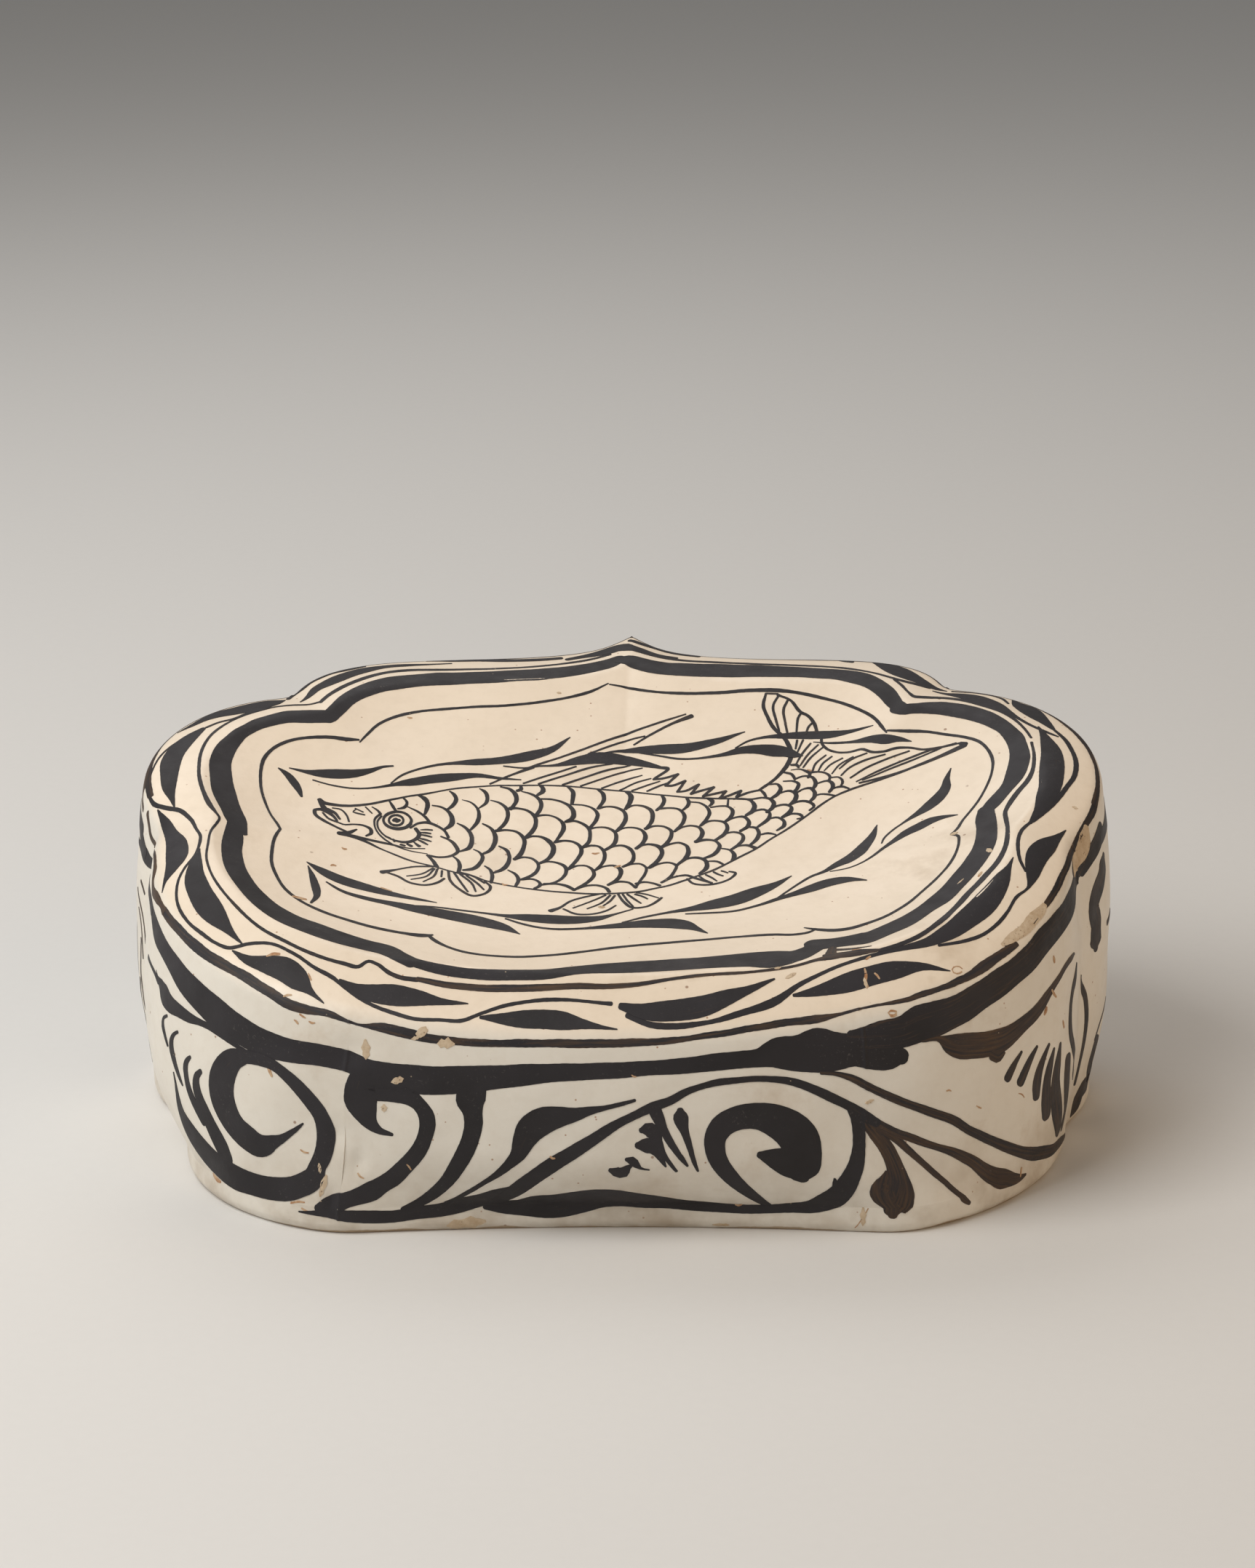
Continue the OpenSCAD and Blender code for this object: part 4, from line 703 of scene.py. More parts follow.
class PillowSizes(bpy.types.PropertyGroup):
    """Sizes of the skin and the brushwork."""
    rim_inset: length("Rim inset", "How far the rim stands in from the widest line of the wall", 4.2)
    rim_round: length("Rim rounding", "Length of the soft rounding on each side of the rim", 3.6)
    crease_soft: length("Crease softness", "How wide the creases between the lobes are rounded", 3.4)
    foot_soft: length("Foot softness", "How wide the creases are rounded at the foot", 5.5)
    slab: length("Slab thickness", "Thickness of the headrest and base slabs", 9.0)
    wall: length("Wall thickness", "Thickness of the wall slabs", 7.0)
    vent: length("Vent", "Diameter of the firing vent in the back wall", 8.0)
    ink_lift: length("Ink lift", "Height of the lowest ink layer over the slip", 0.07)
    ink_depth: length("Ink depth", "How far the ink sinks into the slip", 0.3)
    unevenness: length("Unevenness", "Height of the hand-made waves in the skin", 0.45)


class PillowColours(bpy.types.PropertyGroup):
    """Colours of the slip, ink, clay and studio."""
    # The headrest's cream is warmer and a little lighter than the wall's ivory: partly the slip's tone,
    # partly painted light falling on the top.
    cream: tint("Cream slip", "Slip on the headrest", (0.86, 0.735, 0.585))
    ivory: tint("Ivory slip", "Slip on the wall", (0.78, 0.735, 0.65))
    ink: tint("Ink", "Iron ink where it is thick", (0.021, 0.019, 0.020))
    thin_ink: tint("Thin ink", "Iron ink where the brush ran dry", (0.115, 0.066, 0.034))
    clay: tint("Bare clay", "Stoneware where the slip is off", (0.50, 0.37, 0.24))
    rust: tint("Rust specks", "Iron specks and stains in the slip", (0.36, 0.17, 0.07))
    floor: tint("Floor", "Pale studio floor", (0.72, 0.71, 0.69))


def sizes():
    return bpy.context.scene.pillow_sizes


def colours():
    return bpy.context.scene.pillow_colours


def bow(p, q, sag, count):
    """Points on an arc from p towards q that bows out by sag."""
    p, q = np.array(p, float), np.array(q, float)
    chord = np.linalg.norm(q - p)
    half = 2 * math.atan2(2 * sag, chord)
    radius = chord / 2 / math.sin(half)
    along = (q - p) / chord
    out = np.array([along[1], -along[0]])
    a = np.linspace(-half, half, count, endpoint=False)[:, None]
    return (p + q) / 2 - out * (radius - sag) + radius * (np.cos(a) * out + np.sin(a) * along)


def sweep(p0, p1, p2, p3, count):
    """Points on a four-point curve."""
    t = np.linspace(0, 1, count, endpoint=False)[:, None]
    p0, p1, p2, p3 = (np.array(p, float) for p in (p0, p1, p2, p3))
    return (1 - t) ** 3 * p0 + 3 * t * (1 - t) ** 2 * p1 + 3 * t * t * (1 - t) * p2 + t ** 3 * p3


def soften(loop, spread):
    """Rounds a closed run of points that lie one outline step apart."""
    reach = int(4 * spread / OUTLINE_STEP)
    k = np.exp(-0.5 * (np.arange(-reach, reach + 1) * OUTLINE_STEP / spread) ** 2)
    k /= k.sum()
    padded = np.vstack([loop[-reach:], loop, loop[:reach]])
    return np.column_stack([np.convolve(padded[:, i], k, mode="valid") for i in (0, 1)])


def lobed(corners, bows, many=LOBE_POINTS):
    """A lobed outline through its creases and tip."""
    fl, fr, r, br, tip, bl, l = (np.array(c, float) for c in corners)
    left_of = np.array([-1, 1])
    return np.vstack([
        bow(fl, fr, bows[0], many), bow(fr, r, bows[1], many), bow(r, br, bows[2], many),
        sweep(br, br + RIGHT_PULL, tip + TIP_PULL, tip, many),
        sweep(tip, tip + left_of * TIP_PULL, bl + LEFT_PULL, bl, many),
        bow(bl, l, bows[3], many), bow(l, fl, bows[4], many)])


def headings(line):
    """Unit directions along a run of plan points."""
    ahead = np.gradient(line[:, :2], axis=0)
    return ahead / np.maximum(np.hypot(*ahead.T), 1e-6)[:, None]


def run_lengths(points, least=0.0):
    """Length along a run of plan points, from 0 at the first."""
    return np.concatenate([[0], np.cumsum(np.maximum(np.hypot(*np.diff(points[:, :2], axis=0).T), least))])


# The widest outline and how far it reaches to the front, and the arc lengths of its creases and of the
# whole round, from the front left crease anticlockwise.
WIDEST = lobed(CORNERS, BOWS)
HALF_DEPTH = round(float(-WIDEST[:, 1].min()), 4)
ALONG = tuple(run_lengths(np.vstack([WIDEST, WIDEST[:1]]))[::LOBE_POINTS].round(2).tolist())
CREASES, ROUND = ALONG[:-1], ALONG[-1]


class Skin:
    """The pillow's outside: places of points on its top and wall, in millimetres."""

    def __init__(self):
        s = sizes()
        self.rim_in, self.rim_r, self.slab = s.rim_inset / MM, s.rim_round / MM, s.slab / MM
        self.wave = s.unevenness / MM
        wide, foot = (np.vstack([loop, loop[:1]]) for loop in (WIDEST, lobed(FOOT_CORNERS, FOOT_BOWS)))
        run = run_lengths(wide)
        self.u = np.arange(0, run[-1], OUTLINE_STEP)
        self.length = run[-1]
        crisp = np.exp(-((self.u - CREASES[TIP]) / TIP_REACH) ** 2)[:, None]
        self.line = self.spread(wide, run, crisp, s.crease_soft / MM)
        self.foot = self.spread(foot, run, crisp, s.foot_soft / MM)
        self.line *= 1 - SKIN_IN / np.hypot(*self.line.T)[:, None]
        angle = np.arctan2(self.line[:, 1], self.line[:, 0])
        order = np.argsort(angle)
        self.angle = np.concatenate([angle[order] - 2 * np.pi, angle[order], angle[order] + 2 * np.pi])
        self.reach = np.tile(np.hypot(*self.line.T)[order], 3)
        self.turn = np.tile(self.u[order], 3)

    def spread(self, loop, run, crisp, soft):
        """An outline at the even steps of arc length, with its creases rounded and its tip kept crisp."""
        even = np.column_stack([np.interp(self.u, run, loop[:, i]) for i in (0, 1)])
        return soften(even, soft) * (1 - crisp) + soften(even, TIP_SOFT) * crisp

    def edge(self, u, line=None):
        """The outline's point at arc length u, in the outline's frame."""
        line = self.line if line is None else line
        u = np.mod(u, self.length)
        ends = np.append(self.u, self.length)
        return [np.interp(u, ends, np.append(line[:, i], line[0, i])) for i in (0, 1)]

    def inset(self, x, y):
        """How far a plan point lies in from the outline, found by halving."""
        low, high = np.full(np.shape(x), -30.0), np.full(np.shape(x), HALF_DEPTH - 0.01)
        for _ in range(28):
            mid = (low + high) / 2
            ex, ey = x / (1 - mid / HALF_LENGTH), y / (1 - mid / HALF_DEPTH)
            inside = np.hypot(ex, ey) < np.interp(np.arctan2(ey, ex), self.angle, self.reach)
            low, high = np.where(inside, mid, low), np.where(inside, high, mid)
        return low

    def crown(self, x, y, d):
        """Height of the top at an inset d: a sloping sheet with a shoulder and a dish."""
        tip_x, tip_y = CORNERS[TIP]
        ridge = np.clip((y - RIDGE_Y) / (tip_y - RIDGE_Y), 0, 1)
        sheet = (CREST_Z + SLOPE * y + np.where(x < 0, LEFT_LIFT, RIGHT_LIFT) * (x / HALF_LENGTH) ** 2
                 + PEAK * np.exp(-((x - tip_x) / PEAK_WIDTH) ** 2) * ridge ** 2)
        back = np.clip((y / HALF_DEPTH + 1) / 2, 0, 1)
        drop = SHOULDER_FRONT + (SHOULDER_BACK - SHOULDER_FRONT) * back
        dip = np.clip((d - CREST_IN) / (HALF_DEPTH - CREST_IN), 0, 1)
        shoulder = drop * (np.clip(CREST_IN - d, 0, None) / (CREST_IN - SHOULDER_END)) ** SHOULDER_CURVE
        # Slow waves of the pressed slab, which fade out towards the rim.
        waves = self.wave * np.clip((d - 8) / 16, 0, 1) * (
            0.5 * np.sin(x / 17 + 1.3) * np.sin(y / 13 + 0.4) + 0.35 * np.sin(x / 7.3 - y / 11 + 2.1)
            + 0.3 * np.sin(x / 23 + y / 8.7))
        return sheet - shoulder - DISH * (1 - (1 - dip) ** 2) + waves

    def rim(self, ex, ey):
        """Height of the rim over an outline point, and the top's inset and height where its rounding ends."""
        d = self.rim_in
        z = self.crown(ex * (1 - d / HALF_LENGTH), ey * (1 - d / HALF_DEPTH), d)
        d2 = d + self.rim_r
        z2 = self.crown(ex * (1 - d2 / HALF_LENGTH), ey * (1 - d2 / HALF_DEPTH), d2)
        return z, d2, z2

    def wall_in(self, u, z, zc):
        """Inset of the wall at a height: tucked in at the foot, upright, drawn in at the rim."""
        high = self.slab + LEAN_FROM * (zc - 2 * self.slab)
        under = TUCK_DEEP * np.clip(1 - z / TUCK_HIGH, 0, 1) ** 2
        lean = self.rim_in * np.clip((z - high) / (zc - high), 0, 1) ** 2
        # Slow waves of the pressed wall, which fade out towards the foot and the rim.
        fade = np.clip(z / 10, 0, 1) * np.clip((zc - 5 - z) / 10, 0, 1)
        waves = self.wave * fade * (
            0.5 * np.sin(u / 9 + z / 21) * np.sin(z / 10.5 + 1) + 0.4 * np.sin(u / 4.7 - z / 7 + 2)
            + 0.25 * np.sin(u / 15 + z / 5.3))
        along = (u + self.length / 2) % self.length - self.length / 2
        dents = sum(deep * np.exp(-((along - at) / wide) ** 2 - ((z - up) / tall) ** 2)
                    for at, up, wide, tall, deep in DENTS)
        return under + lean - np.clip(waves, -1, 0.35) + dents * np.clip(z / 6, 0, 1)

    def top(self, x, y):
        """Points of the top over plan points in the part's frame, on the rim's rounding near the edge."""
        x, y = np.asarray(x, float) + MIDDLE[0], np.asarray(y, float) + MIDDLE[1]
        d = self.inset(x, y)
        ex, ey = x / (1 - d / HALF_LENGTH), y / (1 - d / HALF_DEPTH)
        u = np.interp(np.arctan2(ey, ex), self.angle, self.turn)
        flat = np.column_stack([x - MIDDLE[0], y - MIDDLE[1], self.crown(x, y, d)])
        near = d < self.rim_in + self.rim_r
        if near.any():
            zc, d2, _ = self.rim(ex[near], ey[near])
            d0 = self.wall_in(u[near], zc - self.rim_r, zc)
            a, b = d0 - 2 * self.rim_in + d2, 2 * (self.rim_in - d0)
            t = (-b + np.sqrt(np.maximum(b * b - 4 * a * (d0 - d[near]), 0))) / (2 * a)
            flat[near] = self.round_rim(u[near], np.clip(t, 0, 1))
        return flat

    def round_rim(self, u, t):
        """Points of the rim's rounding, from the wall at t 0 to the top at t 1."""
        ex, ey = self.edge(u)
        zc, d2, z2 = self.rim(ex, ey)
        z0 = zc - self.rim_r
        d0 = self.wall_in(u, z0, zc)
        d = (1 - t) ** 2 * d0 + 2 * t * (1 - t) * self.rim_in + t * t * d2
        z = (1 - t) ** 2 * z0 + 2 * t * (1 - t) * zc + t * t * z2
        return self.spot(ex, ey, d, z)

    def spot(self, ex, ey, d, z):
        """The point at an inset d from an outline point, in the part's frame."""
        x, y = ex * (1 - d / HALF_LENGTH), ey * (1 - d / HALF_DEPTH)
        return np.column_stack([x - MIDDLE[0], y - MIDDLE[1], z])

    def wall(self, u, z, deeper=0.0):
        """Points of the wall at arc length u and height z. Above the rim they run on over the rounding."""
        u, z = np.asarray(u, float), np.asarray(z, float)
        ex, ey = self.edge(u)
        fx, fy = self.edge(u, self.foot)
        zc, d2, _ = self.rim(ex, ey)
        over = z - (zc - self.rim_r)
        height = np.minimum(z, zc - self.rim_r)
        low = (1 - np.clip((height - self.slab) / (FOOT_SHARE * (zc - 2 * self.slab)), 0, 1)) ** 2
        out = self.spot(ex + (fx - ex) * low, ey + (fy - ey) * low,
                        self.wall_in(np.mod(u, self.length), height, zc) + deeper, height)
        span = RIM_SPAN * self.rim_r
        rounding = over > 0
        if rounding.any():
            share = np.clip(over[rounding] / span, 0, 1)
            out[rounding] = self.round_rim(np.mod(u[rounding], self.length), share)
        inland = over > span
        if inland.any():
            d = d2 + (over[inland] - span) * INLAND_RATE
            out[inland] = self.inner(ex[inland], ey[inland], d)
        return out

    def inner(self, ex, ey, d):
        """Points of the top at an inset d from outline points, in the part's frame."""
        x, y = ex * (1 - d / HALF_LENGTH), ey * (1 - d / HALF_DEPTH)
        return np.column_stack([x - MIDDLE[0], y - MIDDLE[1], self.crown(x, y, d)])

    def seam(self, u):
        """Height of the seam between the wall and the headrest slab."""
        ex, ey = self.edge(u)
        return self.rim(ex, ey)[0] - self.slab


def stations(first, last):
    """Arc lengths across one lobe, closer together near its creases."""
    span = last - first
    t = np.linspace(0, 1, int(span / COLUMN_STEP) + 1)
    return first + span * (t - CROWDING * np.sin(2 * np.pi * t) / (2 * np.pi) * 2)


def lobes():
    """First and last arc length of each lobe."""
    return list(zip(CREASES, CREASES[1:] + (ROUND,)))


def all_stations(skin):
    """Arc lengths once round the pillow, ending where they start."""
    u = np.concatenate([stations(a, b)[:-1] for a, b in lobes()])
    return np.append(u, u[0] + skin.length)


def laid_grid(bm, place):
    """A grid of faces laid on an array of rows by columns of points in millimetres."""
    rows, across = place.shape[0] - 1, place.shape[1] - 1
    made = bmesh.ops.create_grid(bm, x_segments=across, y_segments=rows, size=0.5)["verts"]
    flat = np.array([v.co[:2] for v in made]) + 0.5
    i = np.rint(flat[:, 0] * across).astype(int)
    j = np.rint(flat[:, 1] * rows).astype(int)
    spots = place[j, i] * MM
    for v, p in zip(made, spots):
        v.co = p
    return made, i, j


def meshed(name, bm):
    """The object of a finished bmesh, linked to the scene."""
    mesh = bpy.data.meshes.new(name)
    bm.to_mesh(mesh)
    bm.free()
    thing = bpy.data.objects.new(name, mesh)
    bpy.context.scene.collection.objects.link(thing)
    return thing


SHARP_ANGLE = math.radians(40)


def finished(name, bm, material, nodes=()):
    """Makes the piece's object, which rides on the pillow's one body."""
    piece = meshed(name, bm)
    piece.data.shade_smooth()
    piece.data.set_sharp_from_angle(angle=SHARP_ANGLE)
    piece.data.materials.append(material)
    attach(piece, "root")
    if nodes:
        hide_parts(*nodes)
    return piece


def joined(bm):
    """Closes the seam and the poles and turns every face outwards."""
    bmesh.ops.remove_doubles(bm, verts=bm.verts[:], dist=2e-7)
    open_edges = [e for e in bm.edges if e.is_boundary]
    if open_edges:
        bmesh.ops.holes_fill(bm, edges=open_edges, sides=0)
    bmesh.ops.recalc_face_normals(bm, faces=bm.faces[:])


def shrunk(ring, part, skin, drop=0.0):
    """A ring of plan points drawn towards the top's middle, laid on the top."""
    pole = np.array([0.0, 0.0]) - MIDDLE
    xy = pole + (ring[:, :2] - pole) * part
    x, y = xy[:, 0] + MIDDLE[0], xy[:, 1] + MIDDLE[1]
    return np.column_stack([xy, skin.crown(x, y, skin.inset(x, y)) - drop])


# Rings of the headrest's underside, as shares of its width, and of its side, as shares of its height, and
# the number of rings on the rim's rounding.
UNDER_RINGS, SIDE_RINGS, RIM_RINGS = (0.0, 0.3, 0.6, 0.85, 0.95), (0, 0.25, 0.5, 0.75), 9


def headrest_rows(skin, u):
    """The headrest's rings, from the middle of its underside over the rim to the middle of its top."""
    low = skin.seam(u)
    rows = [shrunk(skin.wall(u, low), part, skin, skin.slab) for part in UNDER_RINGS]
    ex, ey = skin.edge(u)
    zc, d2, _ = skin.rim(ex, ey)
    rows += [skin.wall(u, low + (zc - skin.rim_r - low) * part) for part in SIDE_RINGS]
    rows += [skin.round_rim(u, np.full(len(u), t)) for t in np.linspace(0, 1, RIM_RINGS)]
    insets = np.concatenate([np.arange(d2 + 1, 26, 1.0), np.arange(26, 61, 1.8)])
    rows += [skin.inner(ex, ey, d) for d in insets]
    last = rows[-1]
    rows += [shrunk(last, part, skin) for part in np.linspace(1, 0, 26)[1:]]
    return np.array(rows)


class PILLOW_OT_headrest(bpy.types.Operator):
    """Builds the dished headrest slab with its rounded rim"""
    bl_idname = "pillow.headrest"
    bl_label = "Headrest"

    def execute(self, context):
        skin = Skin()
        bm = bmesh.new()
        # The crown share runs from 0 at the wall to 1 past the rim's rounding, and blends the slip to the
        # top's cream, which is partly painted top light.
        crown = bm.verts.layers.float.new("crown")
        made, _, j = laid_grid(bm, headrest_rows(skin, all_stations(skin)))
        side = len(UNDER_RINGS) + len(SIDE_RINGS)
        for v, row in zip(made, j):
            v[crown] = min(max((row - side) / RIM_RINGS, 0), 1)
        joined(bm)
        finished("headrest", bm, slip_material("cream_slip_painted_top_light"), ("headrest_slab",))
        return {"FINISHED"}


def wall_rows(skin, u):
    """One wall slab's closed section along u: up the outside and down the inside."""
    seam = skin.seam(u)
    low = np.full(len(u), skin.slab)
    rows = [skin.wall(u, low + (seam - low) * part) for part in np.linspace(0, 1, 49)]
    thick = sizes().wall / MM
    rows += [skin.wall(u, low + (seam - low) * part, thick) for part in (1, 0.7, 0.4, 0)]
    return np.array(rows + rows[:1])


class PILLOW_OT_walls(bpy.types.Operator):
    """Builds the six wall slabs, with the firing vent through the back one"""
    bl_idname = "pillow.walls"
    bl_label = "Walls"

    def execute(self, context):
        skin = Skin()
        spans = lobes()
        slabs = (
            ("front_wall", spans[0:1]), ("front_right_wall", spans[1:2]), ("back_right_wall", spans[2:3]),
            ("back_wall", spans[3:5]), ("back_left_wall", spans[5:6]), ("front_left_wall", spans[6:7]))
        for node, parts in slabs:
            u = np.concatenate([stations(a, b)[:-1] for a, b in parts] + [[parts[-1][1]]])
            bm = bmesh.new()
            laid_grid(bm, wall_rows(skin, u))
            joined(bm)
            name = node.replace("_wall", "_side")
            piece = finished(name, bm, slip_material("ivory_slip"), (node,))
            if node == "back_wall":
                pierce(piece)
        return {"FINISHED"}


def pierce(piece):
    """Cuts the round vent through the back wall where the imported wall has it."""
    drill_long, y = 0.09, 0.075
    x, z, radius = (VENT_X - MIDDLE[0]) * MM, VENT_Z * MM, sizes().vent / 2
    bm = bmesh.new()
    bmesh.ops.create_cone(bm, cap_ends=True, segments=48, radius1=radius, radius2=radius, depth=drill_long)
    for v in bm.verts:
        v.co = Vector((x + v.co.x, y + v.co.z, z - v.co.y))
    bmesh.ops.recalc_face_normals(bm, faces=bm.faces[:])
    drill = meshed("vent_drill", bm)
    cut = piece.modifiers.new("vent", "BOOLEAN")
    cut.object = drill
    cut.operation = "DIFFERENCE"
    cut.solver = "EXACT"
    bpy.context.view_layer.update()
    shaped = bpy.data.meshes.new_from_object(piece.evaluated_get(bpy.context.evaluated_depsgraph_get()))
    piece.modifiers.clear()
    old = piece.data
    piece.data = shaped
    bpy.data.meshes.remove(old)
    bpy.data.objects.remove(drill)


# The base's rings: heights up its outside from the slab's top, shares of its width on the underside, which
# is hollowed a little, and shares on its upper face.
BASE_HEIGHTS = (9.0, 7.5, 6, 4.8, 3.7, 2.7, 1.8, 1.1, 0.5, 0.15, 0.0)
BASE_UNDER, BASE_HOLLOW = (0.985, 0.95, 0.85, 0.7, 0.5, 0.3, 0.12, 0.0), 0.35
BASE_UPPER = (0.0, 0.5, 0.9)
# The ring where the slip starts to wear off towards the underside, and over how many rings it is gone.
BARE_FROM, BARE_OVER = 6, 4


class PILLOW_OT_base(bpy.types.Operator):
    """Builds the base slab with its rounded foot"""
    bl_idname = "pillow.base"
    bl_label = "Base"

    def execute(self, context):
        skin = Skin()
        u = all_stations(skin)
        rows = [skin.wall(u, np.full(len(u), z)) for z in BASE_HEIGHTS]
        foot = rows[-1]
        for part in BASE_UNDER:
            ring = foot * [part, part, 0]
            ring[:, 2] = BASE_HOLLOW * (part < 0.95)
            rows.append(ring)
        outside = len(rows)
        rows += [rows[0] * [part, part, 1] for part in BASE_UPPER] + rows[:1]
        bm = bmesh.new()
        bare = bm.verts.layers.float.new("bare")
        made, _, j = laid_grid(bm, np.array(rows))
        for v, row in zip(made, j):
            v[bare] = min(max((row - BARE_FROM) / BARE_OVER, 0), 1) if row < outside else 0
        joined(bm)
        finished("base", bm, slip_material("foot_slip"), ("base_slab",))
        for node in ("base_coil", "seam_coils"):
            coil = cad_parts[node]
            coil.data.materials.clear()
            coil.data.materials.append(clay_material())
        return {"FINISHED"}


def flow(path, step):
    """Points along a smooth line through a stroke's given points, with their widths."""
    p = np.array(path, float).reshape(-1, 3)
    k = run_lengths(p, 1e-3)
    slope = np.gradient(p, k, axis=0)
    t = np.linspace(0, k[-1], max(int(k[-1] / step), 5) + 1)
    i = np.clip(np.searchsorted(k, t, side="right") - 1, 0, len(k) - 2)
    h = (k[i + 1] - k[i])[:, None]
    f = ((t - k[i]) / h[:, 0])[:, None]
    return ((2 * f ** 3 - 3 * f ** 2 + 1) * p[i] + (f ** 3 - 2 * f ** 2 + f) * h * slope[i]
            + (3 * f ** 2 - 2 * f ** 3) * p[i + 1] + (f ** 3 - f ** 2) * h * slope[i + 1])


# Least width of a stroke, how far a round end reaches as a share of the width, and its points from the
# outermost in.
LEAST_WIDTH, CAP_REACH, CAP_POINTS = 0.18, 0.42, (0.94, 0.8, 0.55, 0.25)


def capped(line):
    """Adds a round end to each end of a stroke."""
    ahead = headings(line)
    width = np.maximum(line[:, 2], LEAST_WIDTH)

    def cap(end, way):
        return [[*(line[end, :2] + way * ahead[end] * width[end] * CAP_REACH * e),
                 width[end] * math.sqrt(1 - e * e)]
                for e in CAP_POINTS]

    return np.vstack([cap(0, -1), np.column_stack([line[:, :2], width]), cap(-1, 1)[::-1]])


def from_crease(u):
    """Distance round the wall to the nearest crease; the last axis of u has one value."""
    return np.abs((u - np.array(CREASES) + ROUND / 2) % ROUND - ROUND / 2).min(-1)


# How far from a crease, beyond its half width, a stroke's steps are split, and into how many.
CLOSE_REACH, CLOSE_PARTS = 1.5, 6


def closer(line):
    """Sets a stroke's points closer together where it runs over a crease of the wall."""
    parts = np.where(from_crease(line[:-1, :1]) < 0.5 * line[:-1, 2] + CLOSE_REACH, CLOSE_PARTS, 1)
    index = np.concatenate([i + np.arange(k) / k for i, k in enumerate(parts)] + [[len(line) - 1.0]])
    return np.column_stack([np.interp(index, np.arange(len(line)), column) for column in line.T])


# Steps along thin and broad strokes, and the width that parts them.
THIN_STEP, BROAD_STEP, BROAD = 0.9, 1.2, 2
# Unevenness of a stroke's edges, as a share of its half width and at most, and the least height of ink on
# the wall.
ROUGH_SHARE, ROUGH_MOST, LEAST_HEIGHT = 0.08, 0.05, 0.5
# Strokes lie in layers, so that crossing ones don't share a surface, and stand higher on a crease's corner.
LAYERS, LAYER_STEP, CREASE_LIFT, CREASE_WIDE = 9, 0.011, 0.3, 0.5


def brush(bm, layers, path, place, number, load):
    """Lays one stroke on the skin as a thin ribbon with slightly uneven edges."""
    on_wall = place.__name__ == "wall"
    line = capped(flow(path, THIN_STEP if max(path[2::3]) < BROAD else BROAD_STEP))
    if on_wall:
        line = closer(line)
    ahead = headings(line)
    aside = np.column_stack([-ahead[:, 1], ahead[:, 0]])
    run = run_lengths(line)
    half = line[:, 2] / 2
    rough = np.minimum(half * ROUGH_SHARE, ROUGH_MOST)
    left = half + rough * (np.sin(run * 0.53 + number) + 0.6 * np.sin(run * 1.9 + 2 * number))
    right = half + rough * (np.sin(run * 0.41 + 5 * number) + 0.6 * np.sin(run * 2.3 + number))
    lanes = 2 if half.max() < 0.8 else int(np.clip(half.max() * 1.3, 3, 9))
    side = np.linspace(-1, 1, lanes + 1)
    reach = np.where(side[:, None] < 0, side[:, None] * right, side[:, None] * left)
    plan = line[None, :, :2] + aside[None] * reach[:, :, None]
    if on_wall:
        plan[..., 1] = np.maximum(plan[..., 1], LEAST_HEIGHT)
    spots = place(plan[..., 0].ravel(), plan[..., 1].ravel()).reshape(lanes + 1, len(line), 3)
    normal = np.cross(np.gradient(spots, axis=1), np.gradient(spots, axis=0))
    normal /= np.maximum(np.linalg.norm(normal, axis=2), 1e-9)[..., None]
    # Outwards is away from the middle, and more upwards on the top than on the wall.
    outwards = spots * [1 / 160, 1 / 120, 0] + [0, 0, 0.15 if on_wall else 0.6]
    if (normal * outwards).sum() < 0:
        normal = -normal
    lift = sizes().ink_lift / MM + LAYER_STEP * (number % LAYERS)
    if on_wall:
        lift = lift + CREASE_LIFT * np.exp(-(from_crease(plan[..., :1]) / CREASE_WIDE) ** 2)[..., None]
    over = spots + normal * lift
    under = (spots - normal * sizes().ink_depth / MM)[::-1]
    made, i, j = laid_grid(bm, np.concatenate([over, under, over[:1]]))
    lane = np.concatenate([side, side[::-1], side[:1]])
    uv, inked = layers
    for v, a, b in zip(made, i, j):
        v[inked] = load
        for corner in v.link_loops:
            corner[uv].uv = (run[a] / 10, lane[b] * min(half[a], 4) / 8 + 0.5 + number)


def brushed(name, strokes, material):
    """One piece from strokes of (path, place, number, load)."""
    bm = bmesh.new()
    layers = (bm.loops.layers.uv.new("brush"), bm.verts.layers.float.new("load"))
    for stroke in strokes:
        brush(bm, layers, *stroke)
    joined(bm)
    return finished(name, bm, material)


def painted(name, groups, look=None):
    """One painted piece from groups of (strokes, place, load), in ink or in another look."""
    runs = [(path, place, load) for strokes, place, load in groups for path in strokes]
    strokes = [(path, place, number, load) for number, (path, place, load) in enumerate(runs, 1)]
    return brushed(name, strokes, look or ink_material())


# Arc lengths of the front left lobe, and the height that its strokes keep when they are made taller.
FRONT_LEFT_LOBE = (-131.0, 0.0)
LOWEST = 3


def moved(strokes, first, last, mirror, tall):
    """Strokes of the front left lobe laid again on another lobe, wider or taller to suit it."""
    start, end = FRONT_LEFT_LOBE
    out = []
    for path in strokes:
        p = np.array(path, float).reshape(-1, 3)
        part = (p[:, 0] - start) / (end - start)
        p[:, 0] = last - part * (last - first) if mirror else first + part * (last - first)
        p[:, 1] = LOWEST + (p[:, 1] - LOWEST) * tall
        p[:, 2] *= (1 + tall) / 2
        out.append(tuple(p.ravel()))
    return out


# Arc lengths where the band goes out of sight at the right and comes back at the left, the length over
# which it drops and rises there, and the number of its points.
BACK_FIRST, BACK_LAST, BACK_EASE, BACK_POINTS = 304, 758, 30, 84


